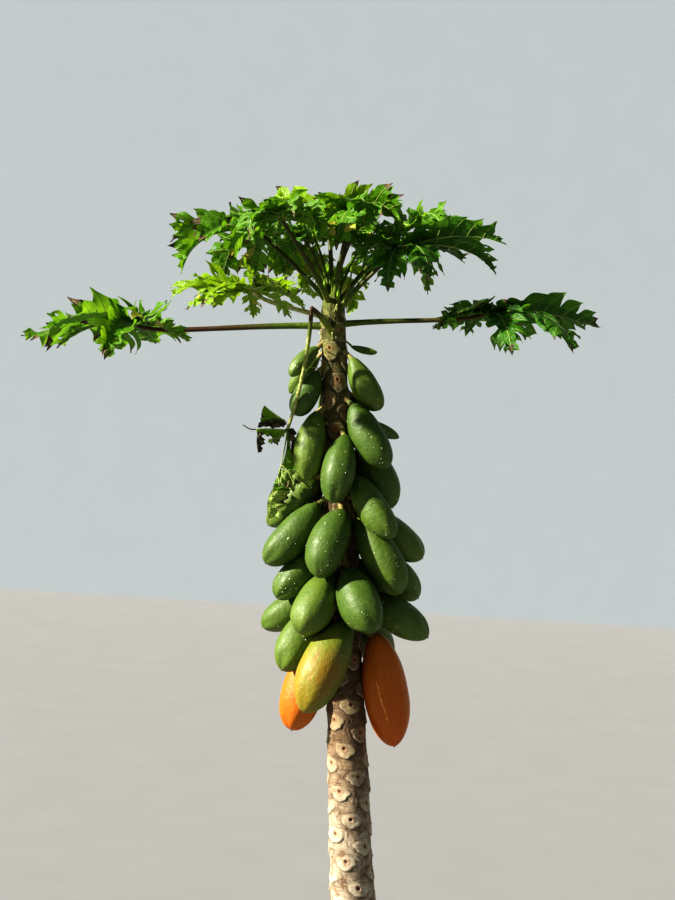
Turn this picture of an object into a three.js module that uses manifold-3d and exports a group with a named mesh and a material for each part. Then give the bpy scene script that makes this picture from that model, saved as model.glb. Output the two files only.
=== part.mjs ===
// Papaya tree in fruit, in millimetres with +Z up. The origin is the middle of the flat cut at ground level.
// Heights are above the ground. A heading is in degrees round the trunk: 0 is -Y, 90 is +X, 180 is +Y.
import * as THREE from "three";
import { mergeVertices } from "three/addons/utils/BufferGeometryUtils.js";
import Module from "manifold-3d";

const wasm = await Module();
wasm.setup();

const UP = new THREE.Vector3(0, 0, 1);
const GAP = 0.35; // between solids that touch on the plant
const LOBE_ROOM = 1; // round a lobe where it is tried among its neighbours

// Trunk: a leaning, tapering stem with a swollen foot and a domed tip.
const TRUNK = {
  height: 2320,
  lean: -0.0931, // shift along X for each millimetre of height
  footRadius: 76,
  tipRadius: 34,
  flare: 26,
  flareHeight: 75,
  domeHeight: 50,
  sides: 16,
  steps: 14,
  crowding: 1.5, // above 1 the steps crowd towards the flare
  domeSteps: 3,
};

// Stalks of leaves. Each ends in a short hook that turns up into the blade.
const STALK = {
  footDepth: 0.3, // where the foot starts inside the trunk, as a share of the trunk's radius
  footRadius: 11,
  tipRadius: 6.5,
  swell: 4,
  swellFade: 14,
  straight: 0.45, // how long the stalk keeps to its first rise, as a share of its length
  hook: 58,
  hookRise: 40,
  fullLength: 540, // of a stalk that has these radii
  slenderest: 0.62, // radius of the shortest stalk there could be, as a share of these
  sides: 6,
  steps: 6,
};

// Leaf blades: lobes round the top of the stalk, each with pointed side lobes along its rib.
const BLADE = {
  spread: 280, // degrees from the first lobe to the last
  backLobe: 0.6, // length of the last lobe, as a share of the middle one's
  thickness: 7,
  hubRadius: 13,
  lead: 0.75, // how far the tips of side lobes point ahead, for each millimetre that they reach out
  turn: 7, // how far a lobe may turn from its even place, in degrees
  lengths: [0.9, 1.08],
  lifts: [0, 0.5], // shares of the leaf's sag
  sags: [0.7, 1.5],
  twist: 38,
  folds: [-0.25, 0.6], // how far side lobes stand up, for each millimetre that they reach out
  sides: 4,
  // Stations along the rib: how far out, and the half width there, as shares of the lobe's length.
  outline: [
    [0, 0.02],
    [0.2, 0.07],
    [0.33, 0.24],
    [0.47, 0.085],
    [0.58, 0.2],
    [0.7, 0.09],
    [1, 0.01],
  ],
};
// What a lobe that would touch a neighbour tries: degrees added to its sag, and a share of its length.
const LOBE_TRIES = [
  [0, 1],
  [16, 1],
  [-16, 1],
  [32, 1],
  [-32, 1],
  [0, 0.7],
  [24, 0.7],
  [-24, 0.7],
  [0, 0.5],
];

// Leaves: height and heading of the stalk's foot, its length, its rise at the foot and at the end, the length
// of the blade's middle lobe, the blade's pitch, and the sag of its lobes on the way to their tips.
const FIRST_SEED = 100; // of the first leaf's random numbers
const LEAVES = [
  { height: 2222, heading: 272, stalk: 540, rise: -1, end: -13, blade: 350, lobes: 9, pitch: 2, sag: 34 },
  { height: 2228, heading: 88, stalk: 410, rise: 10, end: -3, blade: 375, lobes: 9, pitch: 4, sag: 42 },
  { height: 2242, heading: 324, stalk: 340, rise: 8, end: -2, blade: 272, lobes: 9, pitch: 6, sag: 44 },
  { height: 2286, heading: 252, stalk: 265, rise: 50, end: 34, blade: 350, lobes: 9, pitch: 8, sag: 54 },
  { height: 2262, heading: 62, stalk: 225, rise: 52, end: 38, blade: 330, lobes: 9, pitch: 8, sag: 52 },
  { height: 2282, heading: 330, stalk: 320, rise: 43, end: 29, blade: 290, lobes: 9, pitch: 0, sag: 80 },
  { height: 2294, heading: 200, stalk: 262, rise: 84, end: 70, blade: 290, lobes: 7, pitch: 0, sag: 80 },
  { height: 2292, heading: 20, stalk: 245, rise: 78, end: 62, blade: 290, lobes: 9, pitch: -4, sag: 90 },
  { height: 2246, heading: 146, stalk: 290, rise: 50, end: 28, blade: 270, lobes: 6, pitch: 2, sag: 84 },
  { height: 2222, heading: 184, stalk: 300, rise: 38, end: 18, blade: 260, lobes: 7, pitch: 0, sag: 96 },
  { height: 2278, heading: 108, stalk: 290, rise: 60, end: 44, blade: 310, lobes: 7, pitch: 4, sag: 58 },
  { height: 2250, heading: 208, stalk: 240, rise: 56, end: 36, blade: 240, lobes: 7, pitch: 0, sag: 92 },
];

// The broken leaf: a stub that rises from the trunk to the bend, and below it the hanging stalk and its
// withered blade.
const BROKEN = {
  height: 2196,
  heading: 8,
  bend: new THREE.Vector3(-272, -130, 2266),
  joint: new THREE.Vector3(-325, -52, 1904),
  bow: 26, // how far the hanging stalk bows towards the trunk
  arch: 12, // how far the stub stands above the straight line to the bend
  archAt: 0.6,
  footDepth: 0.5,
  stubRadius: 11,
  stubSteps: 4,
  bendRadius: 6.5,
  tipRadius: 5,
  balls: 18, // that stand for the hanging stalk while the fruit are pushed apart
  ballMargin: 2,
};
const WITHERED = { heading: 262, blade: 172, lobes: 7, pitch: 8, sag: 84 };
// The withered blade's last lobe hangs straight down.
const TAIL = { angle: 0, length: 270, lift: -84, sag: 6, twist: 0, fold: 0.3 };

// Fruit that hang in front, from the top down: height and heading of the stem end, heading of the tip and its
// reach from the trunk's middle, length, girth, and ripeness where it isn't green.
const FRONT_FRUIT = [
  [2156, 295, 297, 146, 128, 50],
  [2128, 250, 256, 140, 140, 48],
  [2082, 294, 294, 140, 150, 78],
  [2166, 88, 86, 138, 80, 22],
  [2126, 58, 74, 120, 178, 82],
  [2006, 64, 60, 155, 222, 102],
  [1950, 112, 104, 195, 150, 40],
  [1964, 310, 318, 118, 212, 93],
  [1908, 22, 350, 135, 216, 102],
  [1866, 108, 92, 128, 215, 106],
  [1760, 250, 264, 205, 205, 92],
  [1690, 289, 285, 212, 240, 106],
  [1778, 45, 50, 198, 226, 96],
  [1704, 112, 97, 222, 240, 102],
  [1674, 10, 338, 185, 230, 118],
  [1660, 46, 60, 186, 262, 114],
  [1570, 116, 103, 222, 212, 102],
  [1578, 287, 294, 205, 212, 96],
  [1425, 250, 268, 232, 205, 98],
  [1505, 318, 322, 210, 220, 122],
  [1520, 28, 24, 228, 230, 126],
  [1436, 88, 81, 262, 228, 106],
  [1380, 282, 296, 195, 218, 112],
  [1352, 0, 324, 222, 300, 138, 0.5],
  [1270, 252, 274, 160, 276, 126, 1],
  [1313, 80, 72, 128, 340, 136, 1],
];
// Fruit on the far side, placed by rule from the top down.
const FAR_FRUIT = {
  seed: 4711,
  count: 15,
  top: 2070,
  bottom: 1330,
  headings: [180, 146, 214],
  reach: [120, 235],
  length: [185, 235],
  girth: [84, 118],
  aside: 9, // degrees that a stem end may be off its heading
  tipAside: 14,
  sizes: [0.94, 1.05],
};
// A fruit is widest past its middle, by the skew of its outline. The higher its power, the blunter its ends.
const FRUIT = {
  sides: 9,
  rings: 6,
  skew: 1.25,
  power: 2,
  smallestDrop: 0.2, // of its length, where its tip is far from below its stem end
};
// The neck from the trunk down to a fruit's stem end. Its depth in the trunk is a share of the trunk's
// radius, and its depth in the fruit a share of the girth.
const NECK = {
  radius: [9.5, 8],
  rise: 24,
  depth: 0.5,
  endDepth: 0.14,
  arch: 6,
  archAt: 0.6,
  thinBelow: 60, // girth of a fruit whose neck is thinner
  sides: 4,
  steps: 2,
};
// How the fruit are pushed apart, as rows of balls with some space round them.
const SETTLE = {
  balls: 7,
  neckBalls: 3,
  clearance: 1.2,
  rounds: 420,
  drawnRounds: 300, // in which a fruit is also drawn back to its own place
  draw: 0.03,
  stemRoom: 0.12, // of its girth, between the trunk and the stem end of a fruit before it is pushed
  stemReach: [9, 90], // from the trunk
  near: 120, // fruit further apart than this and half their lengths aren't tried
  stemShare: 0.3, // of a change of length that moves the stem end
  slimmer: 0.97,
  slimRounds: 6,
};

const COLOURS = {
  trunk: 0xb9a88a,
  leaf: 0x4f8a2a,
  withered: 0x5d6b3c,
  green: 0x3f6b2c,
  turning: 0x9a9a34,
  ripe: 0xd8862a,
};
const ROUGHNESS = { trunk: 0.9, fruit: 0.5, leaf: 0.6, withered: 0.7 };

const rad = THREE.MathUtils.degToRad;
const between = (share, low, high) => low + (high - low) * share;

// Level direction of a heading.
function level(heading) {
  return new THREE.Vector3(Math.sin(rad(heading)), -Math.cos(rad(heading)), 0);
}

// Direction of a heading that rises by so many degrees.
function rising(heading, rise) {
  return level(heading).multiplyScalar(Math.cos(rad(rise))).addScaledVector(UP, Math.sin(rad(rise)));
}

// Repeatable random numbers from 0 to 1.
function draws(seed) {
  const factor = 16807;
  const modulus = 2 ** 31 - 1;
  let state = seed;
  return () => {
    state = (state * factor) % modulus;
    return state / modulus;
  };
}

// Repeatable random number from -limit to limit.
const either = (random, limit) => between(random(), -limit, limit);

// Closed solid from a three.js geometry whose points are moved by place(point).
function solidFrom(geometry, place) {
  const bare = geometry.clone();
  bare.deleteAttribute("normal");
  bare.deleteAttribute("uv");
  const merged = mergeVertices(bare, 1e-5);
  const position = merged.attributes.position;
  const point = new THREE.Vector3();
  const vertProperties = new Float32Array(position.count * 3);
  for (let i = 0; i < position.count; i++) {
    place(point.fromBufferAttribute(position, i)).toArray(vertProperties, i * 3);
  }
  const corners = [];
  for (let i = 0; i < merged.index.count; i += 3) {
    const [a, b, c] = merged.index.array.slice(i, i + 3);
    if (a !== b && b !== c && c !== a) corners.push(a, b, c);
  }
  const triVerts = new Uint32Array(corners);
  return new wasm.Manifold(new wasm.Mesh({ numProp: 3, vertProperties, triVerts }));
}

// Solid swept along a curve. Station i of the section says where it is on the curve, its half width and half
// thickness, and how far its edges lead along the curve and stand up from it.
function sweep(curve, side, section, sides, steps) {
  return solidFrom(new THREE.CylinderGeometry(1, 1, 1, sides, steps), (p) => {
    const { at, wide, thick, lead, fold } = section(Math.round((p.y + 0.5) * steps));
    const tangent = curve.getTangent(Math.min(at, 1));
    const across = side.clone().addScaledVector(tangent, -side.dot(tangent)).normalize();
    const normal = across.clone().cross(tangent);
    return curve
      .getPoint(at)
      .addScaledVector(across, p.x * wide)
      .addScaledVector(tangent, Math.abs(p.x) * lead)
      .addScaledVector(normal, p.z * thick + Math.abs(p.x) * fold);
  });
}

// Round limb along a curve, with its radius given along the way from 0 to 1.
function limb(curve, side, radiusAt, sides, steps) {
  const section = (i) => {
    const radius = radiusAt(i / steps);
    return { at: i / steps, wide: radius, thick: radius, lead: 0, fold: 0 };
  };
  return sweep(curve, side, section, sides, steps);
}

// The largest piece of a solid, where a cut has left scraps.
function largest(solid) {
  return solid.decompose().sort((a, b) => b.volume() - a.volume())[0];
}

function boxesMeet(a, b) {
  return [0, 1, 2].every((i) => a.min[i] <= b.max[i] && b.min[i] <= a.max[i]);
}

// Whether two solids share any space.
function meet(a, b) {
  return boxesMeet(a.boundingBox(), b.boundingBox()) && !a.intersect(b).isEmpty();
}

// Middle of the trunk at a height.
function trunkMiddle(z) {
  return new THREE.Vector3(TRUNK.lean * z, 0, z);
}

// Trunk radius at a height, before the dome.
function trunkRadius(z) {
  const taper = between(z / TRUNK.height, TRUNK.footRadius, TRUNK.tipRadius);
  return taper + TRUNK.flare * Math.exp(-z / TRUNK.flareHeight);
}

// Trunk, grown by a margin where others are cut clear of it.
function trunkSolid(margin) {
  const shoulder = TRUNK.height - TRUNK.domeHeight;
  const profile = [new THREE.Vector2(0, 0)];
  for (let i = 0; i <= TRUNK.steps; i++) {
    const z = shoulder * (i / TRUNK.steps) ** TRUNK.crowding;
    profile.push(new THREE.Vector2(trunkRadius(z) + margin, z));
  }
  for (let i = 1; i < TRUNK.domeSteps; i++) {
    const turn = rad((90 * i) / TRUNK.domeSteps);
    const rise = (TRUNK.domeHeight + margin) * Math.sin(turn);
    profile.push(new THREE.Vector2((trunkRadius(shoulder) + margin) * Math.cos(turn), shoulder + rise));
  }
  profile.push(new THREE.Vector2(0, TRUNK.height + margin));
  const lean = (p) => p.set(p.x + TRUNK.lean * p.y, -p.z, p.y);
  return solidFrom(new THREE.LatheGeometry(profile, TRUNK.sides), lean);
}

// Half width of a fruit along its axis from the stem end at 0 to the tip at 1, as a share of its widest.
function fruitProfile(share) {
  const skewed = share ** FRUIT.skew;
  return (1 - Math.abs(2 * skewed - 1) ** FRUIT.power) ** (1 / FRUIT.power);
}

// Rows for the fruit on the far side, like those for the front.
function farFruit() {
  const random = draws(FAR_FRUIT.seed);
  return Array.from({ length: FAR_FRUIT.count }, (_, i) => {
    const down = i / (FAR_FRUIT.count - 1);
    const heading = FAR_FRUIT.headings[i % FAR_FRUIT.headings.length] + either(random, FAR_FRUIT.aside);
    const size = between(random(), ...FAR_FRUIT.sizes);
    return [
      between(down, FAR_FRUIT.top, FAR_FRUIT.bottom),
      heading,
      heading + either(random, FAR_FRUIT.tipAside),
      between(down, ...FAR_FRUIT.reach),
      between(down, ...FAR_FRUIT.length) * size,
      between(down, ...FAR_FRUIT.girth) * size,
    ];
  });
}

// Fruit as it would hang alone: its stem end, its tip, and the balls that stand for it and its neck.
function hangingFruit([height, heading, tipHeading, reach, length, girth, ripeness = 0]) {
  const out = trunkRadius(height) + SETTLE.stemReach[0] + girth * SETTLE.stemRoom;
  const stem = trunkMiddle(height).addScaledVector(level(heading), out);
  const tip = trunkMiddle(height).addScaledVector(level(tipHeading), reach);
  const smallest = (length * FRUIT.smallestDrop) ** 2;
  const drop = Math.sqrt(Math.max(length ** 2 - stem.distanceTo(tip) ** 2, smallest));
  tip.add(trunkMiddle(drop).negate());
  const balls = [];
  for (let i = 0; i < SETTLE.balls; i++) {
    const share = (i + 0.5) / SETTLE.balls;
    balls.push({ share, radius: (girth / 2) * fruitProfile(share) + SETTLE.clearance });
  }
  for (let i = 1; i <= SETTLE.neckBalls; i++) {
    balls.push({ share: -i / (SETTLE.neckBalls + 1), radius: NECK.radius[0] + SETTLE.clearance });
  }
  return { stem, tip, balls, length, girth, ripeness, ownStem: stem.clone(), ownTip: tip.clone() };
}

// Where the neck of a fruit leaves the trunk. Depth is how far inside the trunk, as a share of its radius.
function neckFoot(fruit, depth) {
  const z = fruit.stem.z + NECK.rise;
  const out = fruit.stem.clone().sub(trunkMiddle(fruit.stem.z)).setZ(0);
  return trunkMiddle(z).add(out.setLength(trunkRadius(z) * (1 - depth)));
}

// Sets each ball's centre from the fruit's ends.
function placeBalls(fruit) {
  const foot = neckFoot(fruit, 0);
  for (const ball of fruit.balls) {
    const end = ball.share < 0 ? foot : fruit.tip;
    ball.centre = fruit.stem.clone().lerp(end, Math.abs(ball.share));
  }
}

// Moves a fruit by a push on one of its balls.
function push(fruit, ball, move) {
  const share = Math.max(ball.share, 0);
  const weight = (1 - share) ** 2 + share ** 2;
  fruit.stem.addScaledVector(move, (1 - share) / weight);
  fruit.tip.addScaledVector(move, share / weight);
}

// Pushes two fruits apart where their balls meet.
function pushApart(a, b) {
  for (const ballA of a.balls) {
    for (const ballB of b.balls) {
      const apart = ballA.centre.clone().sub(ballB.centre);
      const deep = ballA.radius + ballB.radius - apart.length();
      if (deep <= 0) continue;
      apart.setLength(deep / 2);
      push(a, ballA, apart);
      push(b, ballB, apart.negate());
      placeBalls(a);
      placeBalls(b);
    }
  }
}

// Pushes a fruit off the trunk and off balls that don't move.
function pushOff(fruit, fixed) {
  for (const ball of fruit.balls) {
    if (ball.share >= 0) {
      const out = ball.centre.clone().sub(trunkMiddle(ball.centre.z)).setZ(0);
      const deep = trunkRadius(ball.centre.z) + ball.radius - out.length();
      if (deep > 0) push(fruit, ball, out.setLength(deep));
    }
    for (const other of fixed) {
      const apart = ball.centre.clone().sub(other.centre);
      const deep = ball.radius + other.radius - apart.length();
      if (deep > 0) push(fruit, ball, apart.setLength(deep));
    }
  }
}

// Keeps the stem end near the trunk, and the fruit at its length.
function keepShape(fruit) {
  const out = fruit.stem.clone().sub(trunkMiddle(fruit.stem.z)).setZ(0);
  const radius = trunkRadius(fruit.stem.z);
  const reach = THREE.MathUtils.clamp(out.length() - radius, ...SETTLE.stemReach) + radius;
  fruit.stem.add(out.clone().setLength(reach).sub(out));
  const axis = fruit.tip.clone().sub(fruit.stem);
  const change = axis.clone().setLength(fruit.length).sub(axis);
  fruit.stem.addScaledVector(change, -SETTLE.stemShare);
  fruit.tip.addScaledVector(change, 1 - SETTLE.stemShare);
}

function middleBall(fruit) {
  return fruit.balls[(SETTLE.balls - 1) / 2];
}

// Lets the fruit push each other aside until they hang side by side.
function settle(fruits, fixed) {
  for (let round = 0; round < SETTLE.rounds; round++) {
    const draw = round < SETTLE.drawnRounds ? SETTLE.draw : 0;
    for (const fruit of fruits) {
      fruit.stem.lerp(fruit.ownStem, draw);
      fruit.tip.lerp(fruit.ownTip, draw);
      placeBalls(fruit);
    }
    for (const [i, a] of fruits.entries()) {
      for (const b of fruits.slice(i + 1)) {
        const near = (a.length + b.length) / 2 + SETTLE.near;
        if (middleBall(a).centre.distanceTo(middleBall(b).centre) < near) pushApart(a, b);
      }
    }
    for (const fruit of fruits) {
      pushOff(fruit, fixed);
      keepShape(fruit);
    }
  }
}

// Solid of a fruit with its neck, cut clear of the trunk.
function fruitSolid(fruit, trunkKeepOut) {
  const axis = fruit.tip.clone().sub(fruit.stem).normalize();
  const turn = new THREE.Quaternion().setFromUnitVectors(new THREE.Vector3(0, -1, 0), axis);
  const profile = Array.from({ length: FRUIT.rings + 1 }, (_, i) => {
    const share = (1 + Math.cos((Math.PI * i) / FRUIT.rings)) / 2;
    return new THREE.Vector2((fruit.girth / 2) * fruitProfile(share), -share * fruit.length);
  });
  const lathe = new THREE.LatheGeometry(profile, FRUIT.sides);
  const body = solidFrom(lathe, (p) => p.applyQuaternion(turn).add(fruit.stem));
  const foot = neckFoot(fruit, NECK.depth);
  const end = fruit.stem.clone().addScaledVector(axis, fruit.girth * NECK.endDepth);
  const middle = foot.clone().lerp(end, NECK.archAt).addScaledVector(UP, NECK.arch);
  const thin = Math.min(1, fruit.girth / NECK.thinBelow);
  const radiusAt = (share) => between(share, ...NECK.radius) * thin;
  const curve = new THREE.QuadraticBezierCurve3(foot, middle, end);
  const side = end.clone().sub(foot).cross(UP).normalize();
  const neck = limb(curve, side, radiusAt, NECK.sides, NECK.steps);
  return largest(body.add(neck).subtract(trunkKeepOut));
}

// All the fruit as solids that don't meet. A fruit that still meets another is made a little slimmer.
function fruitSolids(fruits, trunkKeepOut) {
  const solids = fruits.map((fruit) => fruitSolid(fruit, trunkKeepOut));
  for (let round = 0; round < SETTLE.slimRounds; round++) {
    const tight = new Set();
    for (const [i, a] of solids.entries()) {
      for (let j = i + 1; j < solids.length; j++) {
        if (meet(a, solids[j])) tight.add(i).add(j);
      }
    }
    for (const i of tight) {
      fruits[i].girth *= SETTLE.slimmer;
      solids[i] = fruitSolid(fruits[i], trunkKeepOut);
    }
  }
  return solids;
}

// Path of a leaf's stalk, from inside the trunk to the top of the hook.
function stalkCurve({ height, heading, stalk, rise, end }) {
  const depth = trunkRadius(height) * STALK.footDepth;
  const foot = trunkMiddle(height).addScaledVector(level(heading), depth);
  const knee = foot
    .clone()
    .addScaledVector(rising(heading, rise), stalk / 2)
    .addScaledVector(rising(heading, end), stalk / 2);
  const lean = foot.clone().addScaledVector(rising(heading, rise), stalk * STALK.straight);
  const joint = knee.clone().addScaledVector(rising(heading, STALK.hookRise), STALK.hook);
  return new THREE.CubicBezierCurve3(foot, lean, knee, joint);
}

// Radius of a leaf's stalk, swollen where it leaves the trunk. A short stalk is also a slender one.
function stalkRadius({ stalk }, share) {
  const taper = between(share, STALK.footRadius, STALK.tipRadius);
  const size = between(stalk / STALK.fullLength, STALK.slenderest, 1);
  return size * (taper + STALK.swell * Math.exp(-share * STALK.swellFade));
}

// Small ball on a joint, which the lobes grow from.
function hub(joint) {
  return solidFrom(new THREE.SphereGeometry(BLADE.hubRadius, 6, 3), (p) => p.add(joint));
}

// Stalks of all the leaves with their hubs. Each is cut clear of those before it, as they crowd at the trunk.
function stalkSolids(trunkKeepOut) {
  const keepOuts = [trunkKeepOut];
  return LEAVES.map((leaf) => {
    const grownBy = (margin) => {
      const radiusAt = (share) => stalkRadius(leaf, share) + margin;
      return limb(stalkCurve(leaf), level(leaf.heading + 90), radiusAt, STALK.sides, STALK.steps);
    };
    const solid = keepOuts.reduce((left, other) => left.subtract(other), grownBy(0));
    keepOuts.push(grownBy(GAP));
    return largest(solid).add(hub(stalkCurve(leaf).getPoint(1)));
  });
}

// Lobes of a blade from one side to the other: the angle round the joint, length, lift, sag, twist and fold.
function lobesOf(leaf, seed) {
  const random = draws(seed);
  const lobes = [];
  for (let i = 0; i < leaf.lobes; i++) {
    const aside = (2 * i) / (leaf.lobes - 1) - 1;
    lobes.push({
      angle: (aside * BLADE.spread) / 2 + either(random, BLADE.turn),
      length: leaf.blade * between(aside ** 2, 1, BLADE.backLobe) * between(random(), ...BLADE.lengths),
      lift: between(random(), ...BLADE.lifts) * leaf.sag,
      sag: leaf.sag * between(random(), ...BLADE.sags),
      twist: either(random, BLADE.twist),
      fold: between(random(), ...BLADE.folds),
    });
  }
  return leaf === WITHERED ? [...lobes, TAIL] : lobes;
}

// Rib of a lobe: it leaves the joint at its lift and has turned down by its sag at the tip.
function ribCurve(joint, out, lobe) {
  const tilted = (rise) => {
    const along = out.clone().multiplyScalar(Math.cos(rad(rise)));
    return along.addScaledVector(UP, Math.sin(rad(rise)));
  };
  const middle = joint.clone().addScaledVector(tilted(lobe.lift), lobe.length / 2);
  const tip = middle.clone().addScaledVector(tilted(lobe.lift - lobe.sag), lobe.length / 2);
  return new THREE.QuadraticBezierCurve3(joint, middle, tip);
}

// Thin cut blade along a lobe's rib, grown by a margin where it is tried against others.
function lobeSolid(rib, out, lobe, margin) {
  const level = out.clone().cross(UP).normalize();
  const side = level.clone().applyAxisAngle(out, rad(lobe.twist));
  const last = BLADE.outline.length - 1;
  const section = (i) => {
    const [at, share] = BLADE.outline[i];
    const past = i === last ? (3 * margin) / lobe.length : 0;
    const wide = share * lobe.length;
    const lead = (wide - BLADE.outline[0][1] * lobe.length) * BLADE.lead;
    const thick = BLADE.thickness / 2 + margin;
    return { at: at + past, wide: wide + margin, thick, lead, fold: wide * lobe.fold };
  };
  return sweep(rib, side, section, BLADE.sides, last);
}

// Lobes of a leaf's blade, each where it meets none of the taken solids.
function bladeSolids(leaf, joint, seed, taken) {
  const solids = [];
  for (const lobe of lobesOf(leaf, seed)) {
    const out = rising(leaf.heading - lobe.angle, leaf.pitch * Math.cos(rad(lobe.angle)));
    for (const [turn, share] of LOBE_TRIES) {
      const tried = { ...lobe, sag: lobe.sag + turn, length: lobe.length * share };
      const rib = ribCurve(joint, out, tried);
      const solid = lobeSolid(rib, out, tried, 0);
      const room = lobeSolid(rib, out, tried, LOBE_ROOM).add(solid);
      if (taken.some((other) => meet(room, other))) continue;
      solids.push(solid);
      break;
    }
  }
  return solids;
}

function join(solids) {
  return largest(solids.reduce((all, solid) => all.add(solid)));
}

// Stub of the broken stalk, grown by a margin where the hanging part is cut clear of it.
function stubSolid(margin) {
  const { height, heading, bend } = BROKEN;
  const depth = trunkRadius(height) * BROKEN.footDepth;
  const foot = trunkMiddle(height).addScaledVector(level(heading), depth);
  const rise = foot.clone().lerp(bend, BROKEN.archAt).addScaledVector(UP, BROKEN.arch);
  const end = bend.clone().addScaledVector(bend.clone().sub(rise).normalize(), margin);
  const radiusAt = (share) => between(share, BROKEN.stubRadius, BROKEN.bendRadius) + margin;
  const curve = new THREE.QuadraticBezierCurve3(foot, rise, end);
  return limb(curve, level(heading + 90), radiusAt, STALK.sides, BROKEN.stubSteps);
}

// Path of the stalk that hangs from the bend.
function hangCurve() {
  const middle = BROKEN.bend.clone().lerp(BROKEN.joint, 0.5).add(new THREE.Vector3(BROKEN.bow, 0, 0));
  return new THREE.QuadraticBezierCurve3(BROKEN.bend, middle, BROKEN.joint);
}

// The hanging stalk, cut clear of the stub, with the hub of its withered blade.
function hangingStalk() {
  const radiusAt = (share) => between(share, BROKEN.bendRadius, BROKEN.tipRadius);
  const stalk = limb(hangCurve(), level(90), radiusAt, STALK.sides, STALK.steps);
  return largest(stalk.subtract(stubSolid(GAP))).add(hub(BROKEN.joint));
}

// Mesh of a node from its solid.
function node(name, solid, colour, roughness) {
  const mesh = solid.getMesh();
  const geometry = new THREE.BufferGeometry();
  geometry.setAttribute("position", new THREE.BufferAttribute(mesh.vertProperties, 3));
  geometry.setIndex(new THREE.BufferAttribute(mesh.triVerts, 1));
  geometry.computeVertexNormals();
  const material = new THREE.MeshStandardMaterial({ color: colour, roughness, metalness: 0 });
  const made = new THREE.Mesh(geometry, material);
  made.name = name;
  return made;
}

const numbered = (word, i) => `${word}_${String(i + 1).padStart(2, "0")}`;

// Adds the fruit to the plant, pushed apart and clear of the hanging stalk, and returns their solids.
function addFruit(plant, trunkKeepOut) {
  const fixed = hangCurve()
    .getPoints(BROKEN.balls)
    .map((centre) => ({ centre, radius: BROKEN.bendRadius + BROKEN.ballMargin }));
  const fruits = [...FRONT_FRUIT, ...farFruit()].map(hangingFruit);
  settle(fruits, fixed);
  const solids = fruitSolids(fruits, trunkKeepOut);
  const colours = [COLOURS.green, COLOURS.turning, COLOURS.ripe];
  solids.forEach((solid, i) => {
    const colour = colours[fruits[i].ripeness * 2];
    plant.add(node(numbered("fruit", i), solid, colour, ROUGHNESS.fruit));
  });
  return solids;
}

// Adds the broken leaf in its two pieces, and then the crown, each leaf clear of all that is there already.
function addLeaves(plant, trunkKeepOut, taken) {
  const stub = largest(stubSolid(0).subtract(trunkKeepOut));
  const stalks = stalkSolids(trunkKeepOut);
  plant.add(node("broken_leaf_stub", stub, COLOURS.withered, ROUGHNESS.withered));
  taken.push(trunkKeepOut, stub, ...stalks);
  const withered = join([hangingStalk(), ...bladeSolids(WITHERED, BROKEN.joint, FIRST_SEED - 1, taken)]);
  plant.add(node("broken_leaf_blade", withered, COLOURS.withered, ROUGHNESS.withered));
  taken.push(withered);
  LEAVES.forEach((leaf, i) => {
    const others = taken.filter((solid) => solid !== stalks[i]);
    const joint = stalkCurve(leaf).getPoint(1);
    const whole = join([stalks[i], ...bladeSolids(leaf, joint, FIRST_SEED + i, others)]);
    taken.push(whole);
    plant.add(node(numbered("leaf", i), whole, COLOURS.leaf, ROUGHNESS.leaf));
  });
}

// The whole plant.
function papayaTree() {
  const plant = new THREE.Group();
  const trunkKeepOut = trunkSolid(GAP);
  plant.add(node("trunk", trunkSolid(0), COLOURS.trunk, ROUGHNESS.trunk));
  const fruit = addFruit(plant, trunkKeepOut);
  addLeaves(plant, trunkKeepOut, fruit);
  return plant;
}

export default papayaTree();
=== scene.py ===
"""Looks of the papaya tree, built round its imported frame.

Lengths are in millimetres with +Z up, as in the solids' source, and become metres where objects are made.
A heading is in degrees round the trunk: 0 is -Y, 90 is +X, 180 is +Y. The rules for the leaves, the stalks
and the fruit's outline are those of the solids, with finer edges, veins and skins.
"""
import math
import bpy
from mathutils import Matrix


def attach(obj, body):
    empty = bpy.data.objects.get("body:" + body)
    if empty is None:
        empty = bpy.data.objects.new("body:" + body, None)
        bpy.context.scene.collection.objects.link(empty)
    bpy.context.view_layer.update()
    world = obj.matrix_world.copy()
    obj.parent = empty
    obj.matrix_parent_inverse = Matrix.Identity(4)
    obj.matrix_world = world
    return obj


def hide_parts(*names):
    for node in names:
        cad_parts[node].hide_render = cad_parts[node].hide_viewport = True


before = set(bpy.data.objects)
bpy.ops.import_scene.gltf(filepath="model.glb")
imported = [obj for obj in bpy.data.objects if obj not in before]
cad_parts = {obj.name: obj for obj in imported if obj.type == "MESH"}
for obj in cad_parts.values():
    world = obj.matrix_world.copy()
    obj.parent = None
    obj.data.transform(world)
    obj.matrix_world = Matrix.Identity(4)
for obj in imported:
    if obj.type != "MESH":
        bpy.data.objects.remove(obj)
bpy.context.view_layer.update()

from types import SimpleNamespace as Sizes

import bpy
import numpy as np
from mathutils import Matrix

MM = 0.001
UP = np.array([0.0, 0.0, 1.0])

# The plant's sizes, as in the solids.
TRUNK = Sizes(
    height=2320, lean=-0.0931, foot_radius=76, tip_radius=34, flare=26, flare_height=75, dome_height=50
)
STALK = Sizes(
    foot_depth=0.3, foot_radius=11, tip_radius=6.5, swell=4, swell_fade=14, straight=0.45, hook=58,
    hook_rise=40, full_length=540, slenderest=0.62,
)
BLADE = Sizes(
    spread=280, back_lobe=0.6, thickness=7, turns=(-7, 7), lengths=(0.9, 1.08), lifts=(0, 0.5),
    sags=(0.7, 1.5), twists=(-38, 38), folds=(-0.25, 0.6),
)
LOBE_TRIES = [(0, 1), (16, 1), (-16, 1), (32, 1), (-32, 1), (0, 0.7), (24, 0.7), (-24, 0.7), (0, 0.5)]
FIRST_SEED = 100
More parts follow.
